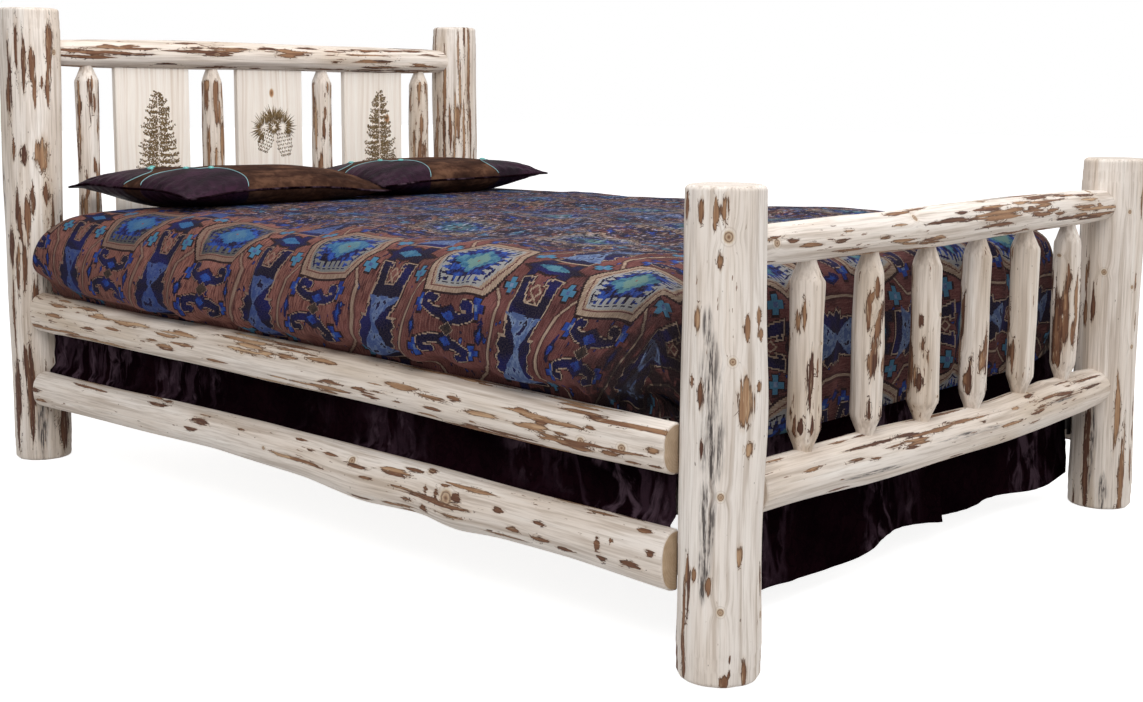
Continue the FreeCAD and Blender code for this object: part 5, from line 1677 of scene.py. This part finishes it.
def makeComforter(spec):
    halfAcross = spec["flatX"] + arcLength(spec["side"])[0][-1]
    footEdge = -spec["flatY"] - arcLength(spec["foot"])[0][-1]
    headEdge = spec["flatY"] + arcLength(spec["head"])[0][-1]
    across = np.linspace(-halfAcross, halfAcross, int(2 * halfAcross / spec["spacing"]))
    along = np.linspace(footEdge, headEdge, int((headEdge - footEdge) / spec["spacing"]))
    along, across = np.meshgrid(along, across, indexing="ij")
    outer, q, weight, overX, overY = comforterShell(spec, across, along)
    inner = comforterShell(spec, across, along, "In")[0]
    run, cross = np.gradient(outer, axis=0), np.gradient(outer, axis=1)
    normal = np.cross(cross, run)
    normal /= np.linalg.norm(normal, axis=2, keepdims=True) + 1e-12
    covered = np.clip((along - spec["pillowsFrom"]) / 0.08, 0, 1)       # under the pillows it lies flat
    wide, small = spec["puffCells"]
    puffs = (softNoise(across, along, wide, 61) + softNoise(across + 5, along, small, 62) * 0.45) * spec["puff"]
    wide, small = spec["wrinkleCells"]
    drag = 1 - np.abs(softNoise(across * 0.7 + along * 1.1, along * 0.25 - across * 1.2, wide, 63)) * 2
    fineDrag = 1 - np.abs(softNoise(across * 1.1 - along * 0.7, along + across * 0.4, small, 64)) * 2
    drop = np.clip(q * 1.6, 0.25, 1) * (1 - np.clip((q - 0.8) / 0.2, 0, 1) * 0.7)
    height = (puffs + (drag * 0.7 + fineDrag * 0.3) * spec["wrinkle"] * drop) * (1 - covered * 0.95)
    corner = 4 * weight * (1 - weight) * np.clip(q * 1.4 - 0.35, 0, 1)
    turn = np.arctan2(overY, overX + 1e-9)
    folds = np.abs(np.sin(turn * 6 + q * 4 + along * 3))
    height = height - corner * np.where(along < 0, 1, 0.2) * spec["cornerFold"] * folds
    # upright gathers on the drops, closest together at the hem
    arc = np.where(overX > overY, along, across)
    gathers = np.sin(arc * spec["gatherTurns"] + 3 * softNoise(arc, q, 0.3, 65))
    gathers = gathers * (1 - np.abs(softNoise(arc, q * 0.3, 0.2, 66)))
    height = height + spec["gather"] * gathers * np.clip((q - 0.35) / 0.3, 0, 1) * (1 - covered)
    height = height * (1 - np.clip((q - 0.9) / 0.1, 0, 1))             # the hem itself stays smooth
    outer = (outer + normal * height[..., None]).reshape(-1, 3)
    inner = inner.reshape(-1, 3)
    rows, columns = along.shape
    count = rows * columns
    top = gridFaces(rows, columns)[:, ::-1]
    under = gridFaces(rows, columns, start=count)
    rim = rimOf(rows, columns)
    after = np.roll(rim, -1)
    middle = (outer[rim] + inner[rim]) / 2
    middle[:, 2] -= spec["hemDrop"]
    hem = 2 * count + np.arange(len(rim))
    hemNext = np.roll(hem, -1)
    edges = (rim, after, hemNext, hem), (hem, hemNext, after + count, rim + count)
    stitch = np.concatenate([np.stack(edge, 1) for edge in edges])
    # the pattern starts at the edge of the foot
    cloth = np.stack([along + 1.331, across, corner], -1).reshape(-1, 3)
    piece = addPiece(
        "comforter_cloth", np.concatenate([outer, inner, middle]), [top, under, stitch], [wovenComforter],
        stands=["comforter"], values={"cloth": np.concatenate([cloth, cloth, cloth[rim]])},
    )


makeComforter(comforter)
print("comforter")


# pillows

pillow = dict(
    count=(120, 90), seam=0.717, lean=3.5, crown=0.064, belly=0.052, drawnX=0.04, drawnY=0.06, fall=3.1, full=0.62,
    pucker=0.0016, sag=0.007, patchX=0.21, patchY=0.225, patchPower=1.7, scallop=0.16,
    piping=0.0011, stud=0.0085, welt=0.0028, sideRise=0.013, fill=0.55,
    # puckers along the seam: how far in they reach, and waves on a metre times 2 pi
    puckerReach=0.12, puckerTurns=190, cornerCrease=0.003, cornerCreases=13,
    # the places of the two studs among the points of each piping
    pipingPoints=90, studPlaces=(36, 54),
)


def suedeMaterial():
    # suede nap brushed into light and dark, with a plum leather patch where the mark is under 0, its creases darkened
    # with painted shade
    material, tree = newMaterial("pillowSuede")
    place = objectPlace(tree)
    mark = split(attribute(tree, "pillowMarks"))[0]
    nap = noise(place, (34, 60, 34), 4, 0.62, 0.5)
    brushed = noise(place, (7, 26, 9), 3, 0.55, 0.4, shift=(3, 1, 2))
    fine = evenNoise(place, 700, 2, 0.6)
    suede = ramp(brushed * 0.6 + nap * 0.4, [(0.34, (30, 18, 14)), (0.5, (58, 38, 30)), (0.66, (98, 70, 54))])
    crease = abs(evenNoise(place, 30, 4, 0.6, 0.6, shift=(2, 7, 1)) - 0.5) * 2.0
    hide = mix(fade(brushed, 0.3, 0.7), (20, 7, 18), (50, 27, 43))
    # painted shade in the creases of the leather patch
    hide = mix(fade(crease, 0.1, 0.0) * 0.5, hide, (10, 5, 9))
    patch = fade(mark, 0.004, -0.004)
    colour = mix(patch, suede, hide)
    rough = 0.95 - patch * 0.45 + (fine - 0.5) * 0.1
    height = fine * 0.35 + nap * 0.4 - patch * 0.3 + patch * fade(crease, 0.0, 0.12) * 0.4
    finishMaterial(tree, colour, rough, height, 0.0012, 0.7, Specular_IOR_Level=0.06)
    return material


pillowSuede = suedeMaterial()
pipingStops = [(0, (92, 140, 148)), (1, (140, 178, 182))]
pipingCord = mottledMaterial("pipingCord", 500, 2, 0.5, pipingStops, 0.6, 0.0003, 0.6)
stoneStops = [(0.35, (70, 150, 150)), (0.6, (110, 188, 184)), (0.75, (60, 70, 66))]
studStone = mottledMaterial("studStone", 260, 3, 0.6, stoneStops, 0.3, 0.0002, 0.4)


def crownHeight(x, y):
    # the top of the comforter: the lower of its side and head outlines
    side, head = np.array(comforter["side"][:6]), np.array(comforter["head"][:6])
    overX = np.interp(np.abs(x) - comforter["flatX"], side[:, 0], side[:, 1])
    overY = np.interp(y - comforter["flatY"], head[:, 0], head[:, 1])
    return np.minimum(overX, overY)


def pillowPoint(u, v, spec, middle, half, face):
    # sides drawn in between the corners; the height is (1 - |u|^fall)(1 - |v|^fall) to the power full
    x = middle[0] + half[0] * u * (1 - spec["drawnX"] * (1 - v ** 4) * u ** 2) - spec["skew"] * v
    y = middle[1] + half[1] * v * (1 - spec["drawnY"] * (1 - u ** 4) * v ** 2)
    swell = np.clip((1 - np.abs(u) ** spec["fall"]) * (1 - np.abs(v) ** spec["fall"]), 0, 1) ** spec["full"]
    fromU, fromV = 1 - np.abs(u), 1 - np.abs(v)                         # how far in from the seam
    edge = np.exp(-(np.minimum(fromU, fromV) / spec["puckerReach"]) ** 2) * np.minimum(1, swell * 4)
    arc = np.where(np.abs(u) > np.abs(v), y, x)
    pucker = spec["pucker"] * edge * np.sin(arc * spec["puckerTurns"] + 2.0 * softNoise(x, y, 0.1, 31))
    corner = np.exp(-(np.hypot(fromU, fromV) / 0.5) ** 2) * np.minimum(1, swell * 3)
    crease = spec["cornerCrease"] * corner * np.sin(np.arctan2(fromV, fromU) * spec["cornerCreases"])
    wave = spec["sag"] * softNoise(x, y * 1.6, 0.17, 33) * swell
    slope = math.tan(math.radians(spec["lean"]))
    seam = spec["seam"] - slope * (y - middle[1]) + spec["sideRise"] * (u ** 2 * (1 - v ** 4))
    for across, along, rise, reach in spec["corners"]:
        away = np.hypot((u - across) * half[0], (v - along) * half[1])
        seam = seam + rise * np.exp(-(away / reach) ** 2)
    if face > 0:
        z = seam + spec["crown"] * swell + pucker + crease + wave
    else:
        z = seam - spec["belly"] * swell - pucker
        z = np.maximum(z, np.minimum(crownHeight(x, y) + 0.001, seam))  # it lies on the comforter
    return np.stack([x, y, z], -1)


def patchEdge(turn, spec):
    # how far the leather patch reaches from its corner, at each angle from the long seam
    c, s = np.cos(turn) / spec["patchX"], np.sin(turn) / spec["patchY"]
    power = spec["patchPower"]
    reach = (np.abs(c) ** power + np.abs(s) ** power) ** (-1 / power)
    return reach * (1 + spec["scallop"] * (np.abs(np.sin(4 * turn)) - 0.6))


def makePillow(hand, spec):
    node = "pillow_" + hand
    low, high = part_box(node)
    middle = (spec["middleX"], (low[1] + high[1]) / 2)
    half = (spec["halfX"], (high[1] - low[1]) / 2)
    columns, rows = spec["count"]
    # points closer together near the seam: the sine of an even angle
    u = np.sin(np.linspace(-np.pi / 2, np.pi / 2, columns))
    v = np.sin(np.linspace(-np.pi / 2, np.pi / 2, rows))
    v, u = np.meshgrid(v, u, indexing="ij")
    top, under = (pillowPoint(u, v, spec, middle, half, face).reshape(-1, 3) for face in (1, -1))
    rim = rimOf(rows, columns)
    seam = (top[rim] + under[rim]) / 2
    top[rim] = seam
    # the underside's rim is the top's rim, so both faces share the seam
    count = rows * columns
    inside = np.setdiff1d(np.arange(count), rim)
    order = np.arange(count)
    order[inside] = count + np.arange(len(inside))
    quads = gridFaces(rows, columns)
    p, q = (1 - np.abs(u)) * half[0], (1 - np.abs(v)) * half[1]
    mark = (np.hypot(p, q) / patchEdge(np.arctan2(q, p + 1e-9), spec) - 1) * 0.25
    for su, sv in spec["plain"]:
        mark = np.where((u * su > 0) & (v * sv > 0), 1.0, mark)
    marks = mark.reshape(-1, 1) * np.ones(3)
    piece = addPiece(
        node + "_suede", np.concatenate([top, under[inside]]), [quads, order[quads][:, ::-1]], [pillowSuede],
        body=node, stands=[node], values={"pillowMarks": np.concatenate([marks, marks[inside]])},
    )
    cords, studs = [], []
    for su, sv in ((-1, -1), (-1, 1), (1, -1), (1, 1)):
        if (su, sv) in spec["plain"]:
            continue
        turns = np.linspace(0.02, np.pi / 2 - 0.02, spec["pipingPoints"])
        reach = patchEdge(turns, spec)
        pu = su * (1 - reach * np.cos(turns) / half[0])
        pv = sv * (1 - reach * np.sin(turns) / half[1])
        path = pillowPoint(pu, pv, spec, middle, half, 1)
        path[:, 2] += spec["piping"] * 0.55
        cords.append(tube(path, spec["piping"], 8))
        studs += [studDome(path[spot], spec["stud"]) for spot in spec["studPlaces"]]
    trims = (
        ("_piping", joinParts(cords), pipingCord),
        ("_studs", joinParts(studs), studStone),
        ("_welt", tube(seam, spec["welt"], 8, True), skirtHide),
    )
    for label, (points, faces), material in trims:
        addPiece(node + label, points, faces, [material], body=node)


def studDome(centre, radius, rings=8, around=14):
    # a flattened ball: rings of points, closed by a small flat above and below
    turn = np.linspace(0.25, np.pi - 0.25, rings)
    angle = np.linspace(0, 2 * np.pi, around, endpoint=False)
    x = radius * np.sin(turn)[:, None] * np.cos(angle)
    y = radius * np.sin(turn)[:, None] * np.sin(angle)
    z = -0.55 * radius * np.cos(turn)[:, None] + 0 * angle[None]
    return np.stack([x, y, z], -1).reshape(-1, 3) + centre, closedFaces(rings, around)


# corners: across and along, how far each stands up or droops, and how far that reaches;
# plain: a corner without a patch
makePillow("left", dict(
    pillow, middleX=-0.345, halfX=0.328, skew=0.026, plain=((1, -1),),
    corners=((-1, 1, 0.024, 0.16), (-1, -1, -0.016, 0.12), (1, 1, -0.004, 0.14), (1, -1, -0.022, 0.16)),
))
makePillow("right", dict(
    pillow, middleX=0.322, halfX=0.329, skew=-0.012, plain=(),
    corners=((-1, 1, 0.0, 0.16), (-1, -1, -0.010, 0.12), (1, 1, 0.004, 0.14), (1, -1, 0.004, 0.14)),
))
print("pillows")
